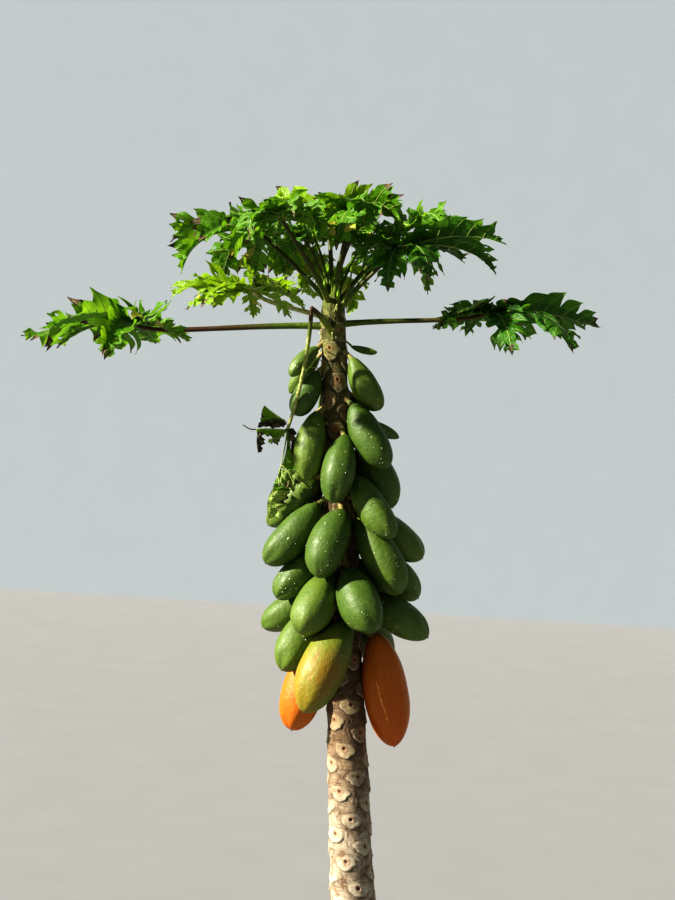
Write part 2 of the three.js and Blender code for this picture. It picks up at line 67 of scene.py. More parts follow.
# Leaves: height and heading of the stalk's foot, its length, its rise at the foot and at the end, the length
# of the blade's middle lobe, the number of lobes, the blade's pitch, the sag of its lobes, and its tint.
LEAF_KEYS = "height heading stalk rise end blade lobes pitch sag tint".split()
# The deep tint is painted shade on leaves that stand in shade, and the lime tint is painted light on sunlit
# ones.
LEAF_ROWS = [
    (2222, 272, 540, -1, -13, 350, 9, 2, 34, "grass"),
    (2228, 88, 410, 10, -3, 375, 9, 4, 42, "deep"),
    (2242, 324, 340, 8, -2, 272, 9, 6, 44, "lime"),
    (2286, 252, 265, 50, 34, 350, 9, 8, 54, "grass"),
    (2262, 62, 225, 52, 38, 330, 9, 8, 52, "deep"),
    (2282, 330, 320, 43, 29, 290, 9, 0, 80, "grass"),
    (2294, 200, 262, 84, 70, 290, 7, 0, 80, "lime"),
    (2292, 20, 245, 78, 62, 290, 9, -4, 90, "grass"),
    (2246, 146, 290, 50, 28, 270, 6, 2, 84, "grass"),
    (2222, 184, 300, 38, 18, 260, 7, 0, 96, "lime"),
    (2278, 108, 290, 60, 44, 310, 7, 4, 58, "grass"),
    (2250, 208, 240, 56, 36, 240, 7, 0, 92, "lime"),
]
BROKEN = Sizes(
    height=2196, heading=8, bend=(-272, -130, 2266), joint=(-325, -52, 1904), bow=26, arch=12, arch_at=0.6,
    foot_depth=0.5, stub_radius=11, bend_radius=6.5, tip_radius=5,
)
FRUIT = Sizes(count=41, sides=9, rings=6, skew=1.25, power=2.0)
NECK = Sizes(radius=(9.5, 8), rise=24, depth=0.5, end_depth=0.14, arch=6, arch_at=0.6, thin_below=60)


# Seeds of all that isn't in the solids, one for each kind. Single pieces add their own number.
SEEDS = Sizes(
    bark=51, spots=77, scratch=97, rust=170, young_blade=300, fruit_skin=400, stalk=610, young_stalk=640,
    buds=888, heart=999, scar=1000, rags=2000, fruit=3000, lobes=5000,
)


def named(keys, row):
    """The values of a row under their names."""
    return Sizes(**dict(zip(keys, row)))


def between(share, low, high):
    return low + (high - low) * share


def draws(seed):
    """Repeatable random numbers from 0 to 1, by the solids' own rule."""
    state = seed
    while True:
        state = state * 16807 % (2**31 - 1)
        yield state / (2**31 - 1)


def pick(random, limits):
    """The next random number, between two limits."""
    return between(next(random), *limits)


def steps(count):
    """Even steps from 0 to 1."""
    return np.linspace(0, 1, count)


def round_turns(count):
    """Even turns round a full circle, in radians."""
    return 2 * np.pi * np.arange(count) / count


def unit(vectors):
    return vectors / np.linalg.norm(vectors, axis=-1, keepdims=True)


def swing(first, second, turn):
    """The first direction, turned towards the second by so many radians."""
    turn = np.asarray(turn)[..., None]
    return first * np.cos(turn) + second * np.sin(turn)


def level(heading):
    turn = math.radians(heading)
    return np.array([math.sin(turn), -math.cos(turn), 0.0])


def rising(heading, rise):
    return swing(level(heading), UP, math.radians(rise))


def smooth(low, high, value):
    """0 below low and 1 above high, with a smooth step between them."""
    share = np.clip((value - low) / (high - low), 0, 1)
    return share * share * (3 - 2 * share)


def bell(value, middle, width):
    """1 at the middle, and less on both sides of it by so wide a bell curve."""
    return np.exp(-(((value - middle) / width) ** 2))


def ripples(seed, waves, along, around):
    """A smooth random surface from waves (steps along, whole turns around), from about -1 to 1."""
    random = draws(seed)
    total = sum(np.cos(rate * along + turns * around + 2 * math.pi * next(random)) for rate, turns in waves)
    return total / math.sqrt(len(waves))


def waver(seed, rates, along):
    """A smooth random line, from about -1 to 1."""
    return ripples(seed, [(rate, 0) for rate in rates], along, 0)


def bezier(controls, shares):
    """Points and unit tangents of a Bezier curve of any degree."""
    shares = np.asarray(shares, float)[:, None]
    degree = len(controls) - 1
    controls = np.asarray(controls, float)

    def blend(points, n):
        parts = (math.comb(n, i) * (1 - shares) ** (n - i) * shares**i * points[i] for i in range(n + 1))
        return sum(parts)

    return blend(controls, degree), unit(blend(np.diff(controls, axis=0), degree - 1))


def trunk_middle(z):
    z = np.asarray(z, float)
    return np.stack([TRUNK.lean * z, np.zeros_like(z), z], -1)


def trunk_radius(z):
    taper = between(z / TRUNK.height, TRUNK.foot_radius, TRUNK.tip_radius)
    return taper + TRUNK.flare * np.exp(-z / TRUNK.flare_height)


def on_trunk(z, heading, out):
    """The point at this height and heading that is so far out from the trunk's middle line."""
    return trunk_middle(z) + level(heading) * out


# Meshes


class Piece:
    """Gathers the patches of one piece: points, faces, and the number of each face's material."""

    # How far the caps of a tube stand out, as a share of its radius.
    cap_height = 0.4

    def __init__(self, name):
        self.name = name
        self.points = []
        self.faces = []
        self.slots = []
        self.values = {}
        self.count = 0

    def add_points(self, points, **values):
        """Adds points and returns their numbers. Values are named numbers for each point or for all."""
        points = np.asarray(points, float).reshape(-1, 3)
        for name in set(values) | set(self.values):
            given = np.broadcast_to(np.ravel(values.get(name, 0.0)), len(points))
            held = self.values.get(name, np.zeros(self.count))
            self.values[name] = np.concatenate([held, given])
        self.points.append(points)
        self.count += len(points)
        return np.arange(self.count - len(points), self.count)

    def add_faces(self, corners, slot, flip):
        """Adds faces from a list of arrays: the numbers of their first corners, their second, and so on."""
        faces = np.stack(corners[::-1] if flip else corners, -1)
        self.faces.append(faces)
        self.slots.append(np.broadcast_to(np.ravel(slot), len(faces)))

    def grid(self, points, slot=0, around=False, flip=False, **values):
        """A patch of four-cornered faces from points[row, column], without those whose slot is below 0.

        Around closes each row on itself.
        """
        index = self.add_points(points, **values).reshape(points.shape[:2])
        if around:
            index = np.hstack([index, index[:, :1]])
        corners = [index[:-1, :-1], index[1:, :-1], index[1:, 1:], index[:-1, 1:]]
        slots = np.broadcast_to(np.ravel(slot), corners[0].size)
        self.add_faces([corner.ravel()[slots >= 0] for corner in corners], slots[slots >= 0], flip)
        return index

    def fan(self, ring, point, slot=0, flip=False, **values):
        """Closes a ring of points with triangles that meet in one point."""
        top = self.add_points(point, **values)[0]
        self.add_faces([ring, np.roll(ring, -1), np.full_like(ring, top)], slot, flip)

    def tube(self, points, tangents, radii, sides, slot=0, **values):
        """A round limb along a line of points, closed at its ends by low caps."""
        points = np.asarray(points, float)
        side = np.cross(tangents[0], UP)
        if np.linalg.norm(side) < 0.1:
            side = np.cross(tangents[0], [0.0, 1.0, 0.0])
        across = []
        for tangent in tangents:
            side = unit(side - tangent * side.dot(tangent))
            across.append(side)
        across = np.array(across)
        around = swing(across[:, None], np.cross(tangents, across)[:, None], round_turns(sides)[None])
        values = {name: np.broadcast_to(value, len(points)) for name, value in values.items()}
        spread = {name: np.repeat(value, sides) for name, value in values.items()}
        skin = points[:, None] + around * radii[:, None, None]
        index = self.grid(skin, slot, around=True, flip=True, **spread)
        for end, way in ((0, -1), (-1, 1)):
            there = {name: value[end] for name, value in values.items()}
            tip = points[end] + tangents[end] * radii[end] * self.cap_height * way
            self.fan(index[end, :-1], tip, slot, flip=way < 0, **there)

    def limb(self, controls, radii, sides, slot=0, **values):
        """A tube along a Bezier curve, with a ring for each radius. Returns the curve's last tangent."""
        points, tangents = bezier(controls, steps(len(radii)))
        self.tube(points, tangents, radii, sides, slot, **values)
        return tangents[-1]

    def make(self, materials, nodes, slot_name):
        """Makes the Blender object, with materials by name. It rides on the plant and stands for nodes."""
        mesh = bpy.data.meshes.new(self.name)
        points = np.concatenate(self.points) * MM
        corners = np.concatenate([f.ravel() for f in self.faces])
        sizes = np.concatenate([np.full(len(f), f.shape[1]) for f in self.faces])
        mesh.vertices.add(len(points))
        mesh.vertices.foreach_set("co", points.astype(np.float32).ravel())
        mesh.loops.add(len(corners))
        mesh.loops.foreach_set("vertex_index", corners.astype(np.int32))
        mesh.polygons.add(len(sizes))
        mesh.polygons.foreach_set("loop_start", (np.cumsum(sizes) - sizes).astype(np.int32))
        mesh.polygons.foreach_set("material_index", np.concatenate(self.slots).astype(np.int32))
        mesh.update(calc_edges=True)
        mesh.shade_smooth()
        for name, numbers in self.values.items():
            held = mesh.attributes.new(name, "FLOAT", "POINT")
            held.data.foreach_set("value", numbers.astype(np.float32))
        for material in materials:
            mesh.materials.append(MATERIALS[material])
        made = bpy.data.objects.new(self.name, mesh)
        bpy.context.scene.collection.objects.link(made)
        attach(made, "root")
        if nodes:
            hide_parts(*nodes)


# Materials


def rgb(*screen):
    """Colour from screen values of 0 to 255."""
    return tuple(((c / 255 + 0.055) / 1.055) ** 2.4 if c > 10 else c / 255 / 12.92 for c in screen)


class Shader:
    """A material with one Principled shader, and short ways to add the nodes that drive it."""

    def __init__(self, name, roughness, **plain):
        self.material = bpy.data.materials.new(name)
        self.material.use_nodes = True
        self.tree = self.material.node_tree
        self.tree.nodes.clear()
        self.main = self.node("BsdfPrincipled", Roughness=roughness, **plain)
        self.out = self.node("OutputMaterial", Surface=self.main.outputs[0])
        self.place = self.node("TexCoord").outputs["Object"]

    def node(self, kind, **sockets):
        """Adds a node and fills its named sockets. An underscore stands for a space in a name."""
        made = self.tree.nodes.new("ShaderNode" + kind)
        for name, value in sockets.items():
            self.fill(made.inputs[name.replace("_", " ")], value)
        return made

    def fill(self, socket, value):
        """Links a socket to another node's output, or sets it to a number, a vector or a colour."""
        if isinstance(value, bpy.types.NodeSocket):
            self.tree.links.new(value, socket)
        elif socket.type == "RGBA":
            socket.default_value = (*value, 1)
        else:
            socket.default_value = value

    def stretched(self, z):
        """The place, scaled by so much along Z."""
        return self.node("Mapping", Scale=(1, 1, z), Vector=self.place).outputs[0]

    def noise(self, scale, detail=3, place=None, roughness=0.5):
        """Noise from 0 to 1, with patches of about 1 / scale metres."""
        place = place or self.place
        made = self.node("TexNoise", Scale=scale, Detail=detail, Roughness=roughness, Vector=place)
        return made.outputs["Fac"]

    def spots(self, scale, low, high, detail=3, place=None, roughness=0.5, to=(0, 1)):
        """Noise, of which the stretch from low to high becomes a number between the two of to."""
        return self.spread(self.noise(scale, detail, place, roughness), low, high, *to)

    def cells(self, scale, feature="F1"):
        """Distance in a pattern of cells about 1 / scale metres wide."""
        made = self.node("TexVoronoi", Scale=scale, Vector=self.place)
        made.feature = feature
        return made.outputs["Distance"]

    def value(self, name):
        """A number that the mesh holds for each point."""
        made = self.node("Attribute")
        made.attribute_name = name
        return made.outputs["Fac"]

    def height(self):
        """Height above the ground in metres."""
        return self.node("SeparateXYZ", Vector=self.place).outputs["Z"]

    def spread(self, value, low, high, to_low=0, to_high=1):
        """Value from low to high, as a number from to_low to to_high."""
        limits = dict(From_Min=low, From_Max=high, To_Min=to_low, To_Max=to_high)
        return self.node("MapRange", Value=value, **limits).outputs[0]

    def sum(self, a, b, kind="ADD"):
        made = self.node("Math")
        made.operation = kind
        self.fill(made.inputs[0], a)
        self.fill(made.inputs[1], b)
        return made.outputs[0]

    def ramp(self, value, *stops):
        """Colour along stops, each with its place and its screen values of red, green and blue."""
        made = self.node("ValToRGB")
        points = made.color_ramp.elements
        while len(points) < len(stops):
            points.new(0.5)
        for point, (place, *screen) in zip(points, stops):
            point.position = place
            point.color = (*rgb(*screen), 1)
        self.fill(made.inputs[0], value)
        return made.outputs[0]

    def mix(self, share, a, b, kind="MIX"):
        """Colour a going over to b by share."""
        made = self.node("Mix")
        made.data_type = "RGBA"
        made.blend_type = kind
        for socket, value in ((0, share), (6, a), (7, b)):
            self.fill(made.inputs[socket], value)
        return made.outputs[2]

    def colour(self, colour):
        self.fill(self.main.inputs["Base Color"], colour)

    def rough(self, value, low, high):
        """Roughness from low to high as value goes from 0.3 to 0.7."""
        self.fill(self.main.inputs["Roughness"], self.spread(value, 0.3, 0.7, low, high))

    def bump(self, height, distance, strength=1.0):
        """Relief of this height in millimetres."""
        made = self.node("Bump", Strength=strength, Distance=distance * MM, Height=height)
        self.fill(self.main.inputs["Normal"], made.outputs[0])
        return self

    def let_light_through(self, colour, share):
        """Mixes in light from behind the surface, as through a leaf."""
        glow = self.node("BsdfTranslucent", Color=colour)
        both = self.node("MixShader")
        for socket, value in enumerate((share, self.main.outputs[0], glow.outputs[0])):
            self.fill(both.inputs[socket], value)
        self.fill(self.out.inputs["Surface"], both.outputs[0])
        return self


def bark_material():
    """Bark in colours that change with height, under those of the scars that the mesh's values hold."""
    s = Shader("bark", 0.85)
    share = s.spread(s.sum(s.height(), s.spots(9, 0, 1, to=(-0.1, 0.1))), 0, TRUNK.height * MM)
    skin = s.ramp(
        share, (0.0, 166, 154, 134), (0.3, 174, 160, 138), (0.42, 134, 110, 82), (0.5, 88, 68, 44),
        (0.78, 88, 74, 38), (0.9, 88, 86, 38), (0.97, 86, 94, 36),
    )
    dark = s.ramp(share, (0.25, 114, 88, 60), (0.48, 74, 54, 34), (0.9, 66, 56, 26))
    face = s.ramp(
        share, (0.0, 184, 174, 154), (0.3, 194, 184, 160), (0.46, 158, 146, 112), (0.58, 136, 106, 80),
        (0.85, 138, 104, 78), (0.96, 128, 126, 74),
    )
    pale = s.ramp(share, (0.0, 202, 193, 174), (0.5, 188, 170, 142), (0.9, 198, 188, 150))
    mottled = s.mix(s.spots(30, 0.42, 0.68, 5, roughness=0.6), skin, dark)
    streaked = s.mix(s.spots(60, 0.55, 0.75, 4, s.stretched(5), to=(0, 0.45)), mottled, pale)
    worn = s.mix(s.spots(75, 0.36, 0.62, 5, roughness=0.65, to=(0.1, 0.8)), face, mottled)
    faced = s.mix(s.value("scar"), streaked, worn)
    broken_rim = s.sum(s.value("rim"), s.spots(55, 0.35, 0.6), "MULTIPLY")
    rimmed = s.mix(broken_rim, faced, pale)
    ringed = s.mix(s.value("ring"), rimmed, s.mix(0.35, rgb(150, 90, 52), face))
    pit = s.mix(s.spots(160, 0.35, 0.65, 4), rgb(112, 66, 40), rgb(58, 38, 26))
    eyed = s.mix(s.value("eye"), ringed, pit)
    # Dark brown in the crease under each scar and in the wrinkles' troughs is painted shade.
    s.colour(s.mix(s.value("crevice"), eyed, rgb(52, 38, 24)))
    s.rough(s.noise(70), 0.75, 0.95)
    grain = s.sum(s.noise(420), s.noise(160, 4, s.stretched(3)))
    return s.bump(grain, 1.6, 0.8).material


def fruit_material():
    """Waxy skin, from green by yellow to orange as the mesh's ripe values rise."""
    s = Shader("fruit_skin", 0.5, Specular_IOR_Level=0.46)
    ripe = s.sum(s.value("ripe"), s.spots(26, 0.3, 0.7, 4, to=(-0.035, 0.035)))
    skin = s.ramp(
        ripe, (0.0, 66, 92, 28), (0.14, 92, 114, 38), (0.34, 120, 122, 32), (0.52, 152, 122, 22),
        (0.72, 188, 112, 6), (0.9, 192, 100, 2), (1.0, 182, 84, 1),
    )
    streaks = s.spots(90, 0.35, 0.65, 3, s.stretched(0.15))
    varied = s.mix(streaks, s.mix(0.12, skin, rgb(52, 84, 36), "MULTIPLY"), skin)
    flecked = s.mix(s.spread(s.cells(300), 0.16, 0.05, 0, 0.35), varied, rgb(196, 204, 132))
    grains = s.spots(260, 0.52, 0.66, 4, roughness=0.7, to=(0, 0.35))
    blotched = s.mix(grains, flecked, s.mix(0.75, flecked, rgb(84, 88, 40), "MULTIPLY"))
    s.colour(s.mix(s.value("bruise"), blotched, rgb(150, 96, 28)))
    s.rough(s.noise(48), 0.46, 0.62)
    return s.bump(s.noise(80, 4, roughness=0.55), 2.6, 0.8).material


def stalk_material():
    """Smooth green stalk, cream where it is young and olive brown where the mesh's age is high."""
    s = Shader("leaf_stalk", 0.5, Specular_IOR_Level=0.3)
    tone = s.sum(s.value("age"), s.spots(130, 0.3, 0.7, to=(-0.12, 0.12)))
    # The olive and brown of older stalks are partly their own colour and partly painted shade from the crown
    # above them.
    base = s.ramp(
        tone, (0.0, 206, 200, 150), (0.22, 120, 132, 46), (0.5, 74, 92, 28), (0.75, 70, 62, 28),
        (1.0, 70, 44, 32),
    )
    s.colour(s.mix(s.spots(420, 0.62, 0.7, 2, to=(0, 0.4)), base, rgb(84, 72, 44)))
    s.rough(s.noise(60), 0.44, 0.62)
    return s.bump(s.noise(260), 0.5, 0.6).material


def dry_material():
    s = Shader("leaf_dry", 0.8)
    s.colour(s.mix(s.spots(90, 0.3, 0.7, 4), rgb(46, 34, 24), rgb(104, 82, 54)))
    return s.bump(s.sum(s.noise(220, 4), s.cells(260)), 1.0).material


def plain_material(name, roughness, spots, first, second, grain, relief):
    """A surface mottled between two screen colours by Shader.spots, with a fine grain in relief."""
    s = Shader(name, roughness)
    s.colour(s.mix(s.spots(*spots), rgb(*first), rgb(*second)))
    return s.bump(s.noise(grain), relief).material


def leaf_material(tint, dark, light, glow, share, roughness=0.4):
    """A blade mottled between two greens, with a net of veins. A share of its light shines through."""
    dark, light, glow = rgb(*dark), rgb(*light), rgb(*glow)
    s = Shader("leaf_" + tint, roughness, Specular_IOR_Level=0.4)
    broad = s.spots(16, 0.3, 0.7)
    veins = s.cells(150, "DISTANCE_TO_EDGE")
    s.colour(s.mix(s.spread(veins, 0, 0.12, 0.45, 0), s.mix(broad, dark, light), glow))
    s.rough(s.noise(60), roughness - 0.08, roughness + 0.1)
    s.bump(s.sum(veins, s.noise(48, 4)), 3.0, 0.8)
    return s.let_light_through(s.mix(broad, glow, light), share).material


MATERIALS = dict(
    bark=bark_material(),
    fruit=fruit_material(),
    stalk=stalk_material(),
    dry=dry_material(),
    fruit_end=plain_material("fruit_end", 0.8, (240, 0, 1), (64, 52, 28), (112, 92, 52), 420, 0.6),
    neck=plain_material("fruit_stalk", 0.6, (90, 0.35, 0.65, 4), (112, 128, 62), (146, 118, 74), 300, 0.5),
    latex=plain_material("latex", 0.42, (300, 0, 1), (232, 232, 214), (204, 200, 168), 900, 0.2),
    scratch=plain_material("fruit_scratch", 0.6, (260, 0.35, 0.65), (240, 176, 92), (206, 124, 40), 500, 0.5),
    vein=plain_material("leaf_vein", 0.5, (60, 0, 1), (128, 150, 74), (176, 182, 112), 500, 0.3),
    bud=plain_material("flower_bud", 0.55, (120, 0, 1), (206, 204, 150), (150, 164, 84), 500, 0.3),
)
# Blades: two greens, the colour of the light through them, its share, and the roughness of dull ones.
# deep is the grass blade darkened as painted shade, and lime is it brightened and yellowed as painted light.
LEAF_TINTS = dict(
    yellow=((142, 156, 44), (188, 176, 66), (206, 204, 96), 0.3),
    fresh=((50, 100, 22), (96, 142, 30), (146, 182, 44), 0.4),
    pale=((108, 136, 60), (142, 162, 84), (176, 190, 108), 0.2, 0.6),
    grass=((44, 98, 20), (90, 142, 28), (150, 194, 32), 0.4),
    deep=((30, 78, 28), (62, 114, 30), (122, 174, 36), 0.36),
    lime=((88, 132, 14), (132, 168, 22), (180, 208, 34), 0.34),
    withered=((36, 30, 22), (92, 84, 60), (140, 130, 96), 0.05, 0.7),
)
for leaf_tint, leaf_colours in LEAF_TINTS.items():
    MATERIALS[leaf_tint] = leaf_material(leaf_tint, *leaf_colours)


# Trunk

# Leaf scars wind round the trunk. Pairs of sizes are given at the ground and at the tip. Sizes, tilts, and
# what is uneven or aside are limits of random draws. An eye is the pit in a scar's face, and has a ring.
SCARS = Sizes(
    first=34, last=2268, first_turn=0.4, step=(14.5, 19), turn=137.508, half_width=(40, 30),
    half_height=(20, 33), sizes=(0.82, 1.16), tilts=(-0.16, 0.16), ragged=0.09, narrows=0.42, spread=0.14,
    flat_top=1.3, round_foot=1.1, cushion=3.4, rim=(1.0, 4.6), rim_uneven=(0.5, 1.3), dish=1.4, eye_at=0.34,
    eye_aside=(-0.14, 0.14), eye_size=(0.34, 0.26), eye_depth=3.0, eye_uneven=(0.6, 1.2), ring=1.6,
    folds=0.8, fold_rate=15, furrow=1.2,
)
BARK = Sizes(
    sides=132, step=3.3, lumps=1.7, wrinkles=0.45, wrinkle_length=8.5, warp=1.6, fine=0.3, dome_rings=8,
    smooth_foot=12,
)


def scar_places():
    """Height, heading in radians, and seed of each scar."""
    z, turn, places = SCARS.first, SCARS.first_turn, []
    while z < SCARS.last:
        places.append((z, turn % (2 * math.pi), len(places)))
        z += between(z / TRUNK.height, *SCARS.step)
        turn += math.radians(SCARS.turn)
    return places


def add_scar(z, turn, seed, heights, turns, relief, masks):
    """Adds one shield-shaped scar with its rim, dish and pit to the relief and the masks, and painted shade
    in the crease under it.
    """
    random = draws(SEEDS.scar + seed)
    upper = z / TRUNK.height
    size = pick(random, SCARS.sizes)
    half_width = between(upper, *SCARS.half_width) * size
    half_height = between(upper, *SCARS.half_height) * size
    tilt = pick(random, SCARS.tilts)
    rows = np.where(abs(heights - z) < half_height * 2)[0]
    if not len(rows):
        return
    part = slice(rows[0], rows[-1] + 1)
    aside = (turns - turn + math.pi) % (2 * math.pi) - math.pi
    x = aside[None, :] * trunk_radius(z) / half_width
    y = (heights[part, None] - z) / half_height - tilt * x
    ragged = SCARS.ragged * ripples(seed * 7 + 3, [(0, 2), (0, 3), (0, 5), (0, 7)], 0, np.arctan2(y, x))
    width = 1 + np.where(y < 0, SCARS.narrows * np.clip(y, -1.4, 0), SCARS.spread * np.clip(y, 0, 1))
    tall = abs(y) ** np.where(y < 0, SCARS.round_foot, SCARS.flat_top)
    shield = np.sqrt((x / width) ** 2 + tall**2) + ragged
    inside = 1 - smooth(0.86, 1.08, shield)
    lower = smooth(0.5, -0.6, y)
    edge = bell(shield, 1, 0.1)
    relief[part] += inside * SCARS.cushion * between(lower, 0.5, 1.15)
    rim = between(upper, *SCARS.rim) * pick(random, SCARS.rim_uneven)
    relief[part] += edge * rim * between(lower, 0.5, 1.3)
    relief[part] -= bell(shield, 0, 0.6) * SCARS.dish
    eye_size = between(upper, *SCARS.eye_size)
    eye_x = (x - pick(random, SCARS.eye_aside)) / eye_size
    eye_y = (y - SCARS.eye_at) * half_height / half_width / eye_size
    eye_far = np.sqrt(eye_x**2 + eye_y**2)
    eye = 1 - smooth(0.4, 0.65, eye_far)
    ring = bell(eye_far, 0.9, 0.26)
    relief[part] -= eye * SCARS.eye_depth * pick(random, SCARS.eye_uneven) - ring * SCARS.ring
    folds = np.cos((shield - 1) * SCARS.fold_rate) * bell(shield, 1.5, 0.3)
    furrow = bell(shield, 1.2, 0.12) * lower
    relief[part] += folds * SCARS.folds - furrow * SCARS.furrow
    # Painted shade: the crease under the scar and the dips between its folds are marked to be painted dark.
    crease_shade = np.maximum(furrow * 0.8, smooth(0.35, 0.8, -folds) * 0.6)
    shown = dict(scar=inside, eye=eye, ring=ring * 0.9, rim=edge * between(lower, 0.35, 1), crevice=crease_shade)
    for name, mask in shown.items():
        masks[name][part] = np.maximum(masks[name][part], mask)


def add_wrinkles(z, around, relief, masks):
    """Adds lumps everywhere, and wrinkles and fine grain where no scar is, with painted shade in the
    wrinkles' troughs.
    """
    bare = 1 - masks["scar"]
    lumps = ripples(SEEDS.bark, [(0.021, 1), (0.034, 2), (-0.045, 3), (0.06, 2), (0.013, 4)], z, around)
    warp = BARK.warp * ripples(SEEDS.bark + 1, [(0.03, 2), (0.05, 3), (-0.07, 5)], z, around)
    rings = np.cos(2 * math.pi * z / BARK.wrinkle_length + warp)
    patches = smooth(-0.4, 0.9, ripples(SEEDS.bark + 2, [(0.025, 3), (-0.04, 4), (0.07, 2)], z, around))
    fine = ripples(SEEDS.bark + 3, [(0.4, 9), (-0.6, 14), (0.9, 22), (-1.1, 31), (0.3, 40)], z, around)
    relief[:] += lumps * BARK.lumps + bare * (rings * BARK.wrinkles * patches + fine * BARK.fine)
    # Painted shade in the troughs of the wrinkles.
    furrow = smooth(0.72, 0.98, -rings) * patches * bare * 0.5
    masks["crevice"] = np.clip(np.maximum(masks["crevice"], furrow), 0, 1)


def make_trunk():
    piece = Piece("trunk_bark")
    shoulder = TRUNK.height - TRUNK.dome_height
    heights = np.linspace(0, shoulder, int(shoulder / BARK.step))
    turns = round_turns(BARK.sides)
    z, around = np.meshgrid(heights, turns, indexing="ij")
    masks = {name: np.zeros_like(z) for name in ("scar", "rim", "ring", "eye", "crevice")}
    relief = np.zeros_like(z)
    for place in scar_places():
        add_scar(*place, heights, turns, relief, masks)
    add_wrinkles(z, around, relief, masks)
    radius = trunk_radius(z) + relief * smooth(0, BARK.smooth_foot, z)
    out = np.stack([np.sin(around), -np.cos(around), np.zeros_like(z)], -1)
    index = piece.grid(trunk_middle(z) + out * radius[..., None], around=True, flip=True, **masks)
    piece.fan(index[0, :-1], (0, 0, 0), flip=True)
    rises = np.linspace(0, np.pi / 2, BARK.dome_rings + 1)[:-1]
    dome_out = out[-1][None] * (radius[-1] * np.cos(rises)[:, None])[..., None]
    lift = shoulder + TRUNK.dome_height * np.sin(rises)
    dome = piece.grid(trunk_middle(lift)[:, None] + dome_out, around=True, flip=True)
    piece.fan(dome[-1, :-1], trunk_middle(TRUNK.height))
    piece.make(["bark"], ["trunk"], "bark")


# Fruit

# Pairs are limits of random draws, but waist_at is the middle and the width of the waist. Ridges are a share
# of the girth, and grow towards the tip.
FRUIT_MESH = Sizes(
    sides=48, rings=44, bow=(-0.035, 0.035), waist=(0, 0.09), waist_at=(0.14, 0.12), stem_power=(2.0, 2.6),
    tip_power=(1.8, 2.2), ridge=(0.009, 0.021), ridge_start=0.8, ridge_growth=4.6, full=0.99, thin_tip=0.06,
    lumps=0.007,
)
# Specks of dried latex: their number on a large fruit and the limits of its random factor, their radius, the
# share of them that ran, and how many radii one that ran (drip) or didn't (drop) reaches down.
SPECKS = Sizes(count=64, numbers=(0.5, 1.4), radius=(0.6, 1.9), sides=7, drips=0.1, drip=4.5, drop=1.2)
# The pale scratch on a ripe fruit: the fruit, the way it faces, its ends along the fruit, its half width.
SCRATCH = Sizes(fruit=26, heading=338, ends=(0.4, 0.76), radius=2.6, crooked=0.02)
# Ripeness of the fruit that aren't green, by their number, and slot names that are passed on but not used.
RIPENESS = {24: 0.27, 25: 0.86, 26: 0.95}
FRUIT_SLOTS = {24: "fruit_turning", 25: "fruit_ripe", 26: "fruit_ripe"}
# The turning fruit: its riper side, which faces the sun and is yellower partly as painted light, its rusty
# front, and the side and slant of its dents.
TURNING = Sizes(fruit=24, ripe_side=285, front=18, dented_side=330, dented_slant=0.1, crease_side=60)
# A fruit's stalk is a little slimmer than the solid's, with a knot and a collar as shares of its radius.
NECK_MESH = Sizes(rings=15, sides=14, slim=0.86, knot=0.5, collar=0.28, uneven=0.06)
# The dry remains of the flower: their size as a share of the girth, its limits, and their shape in sizes.
NUB = Sizes(
    size=0.035, limits=(1.6, 4.2), depth=1.2, length=2.0, radii=(1.15, 1.0, 0.62, 0.5, 0.22), sides=9
)


def fruit_profile(share, power):
    """Radius along a fruit as a share of the greatest. A higher power makes the ends blunter."""
    skewed = share**FRUIT.skew
    return np.clip(1 - abs(2 * skewed - 1) ** power, 0, 1) ** (1 / power)


def solid_points(node):
    """Distinct points of a node's solid, and for each the set of its neighbours along edges."""
    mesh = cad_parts[node].data
    points = np.zeros(len(mesh.vertices) * 3)
    mesh.vertices.foreach_get("co", points)
    keys, number = np.unique(np.round(points.reshape(-1, 3) / MM, 2), axis=0, return_inverse=True)
    neighbours = [set() for _ in keys]
    for edge in mesh.edges:
        a, b = number.ravel()[list(edge.vertices)]
        if a != b:
            neighbours[a].add(b)
            neighbours[b].add(a)
    return keys, neighbours


def fruit_axis(node):
    """Stem end, direction to the tip, length and girth of a fruit, read from where its sides meet."""
    points, neighbours = solid_points(node)
    best = None
    for i, around in enumerate(neighbours):
        if len(around) != FRUIT.sides:
            continue
        ring = points[sorted(around)]
        distances = np.linalg.norm(ring - points[i], axis=1)
        uneven = distances.std() / distances.mean()
        if best is None or uneven < best[0]:
            best = (uneven, points[i], ring)
    _, tip, ring = best
    middle = ring.mean(0)
    ring_share = (1 + math.cos(math.pi / FRUIT.rings)) / 2
    length = np.linalg.norm(middle - tip) / (1 - ring_share)
    ring_radius = np.linalg.norm(ring - middle, axis=1).mean()
    along = unit(tip - middle)
    return tip - along * length, along, length, 2 * ring_radius / fruit_profile(ring_share, FRUIT.power)


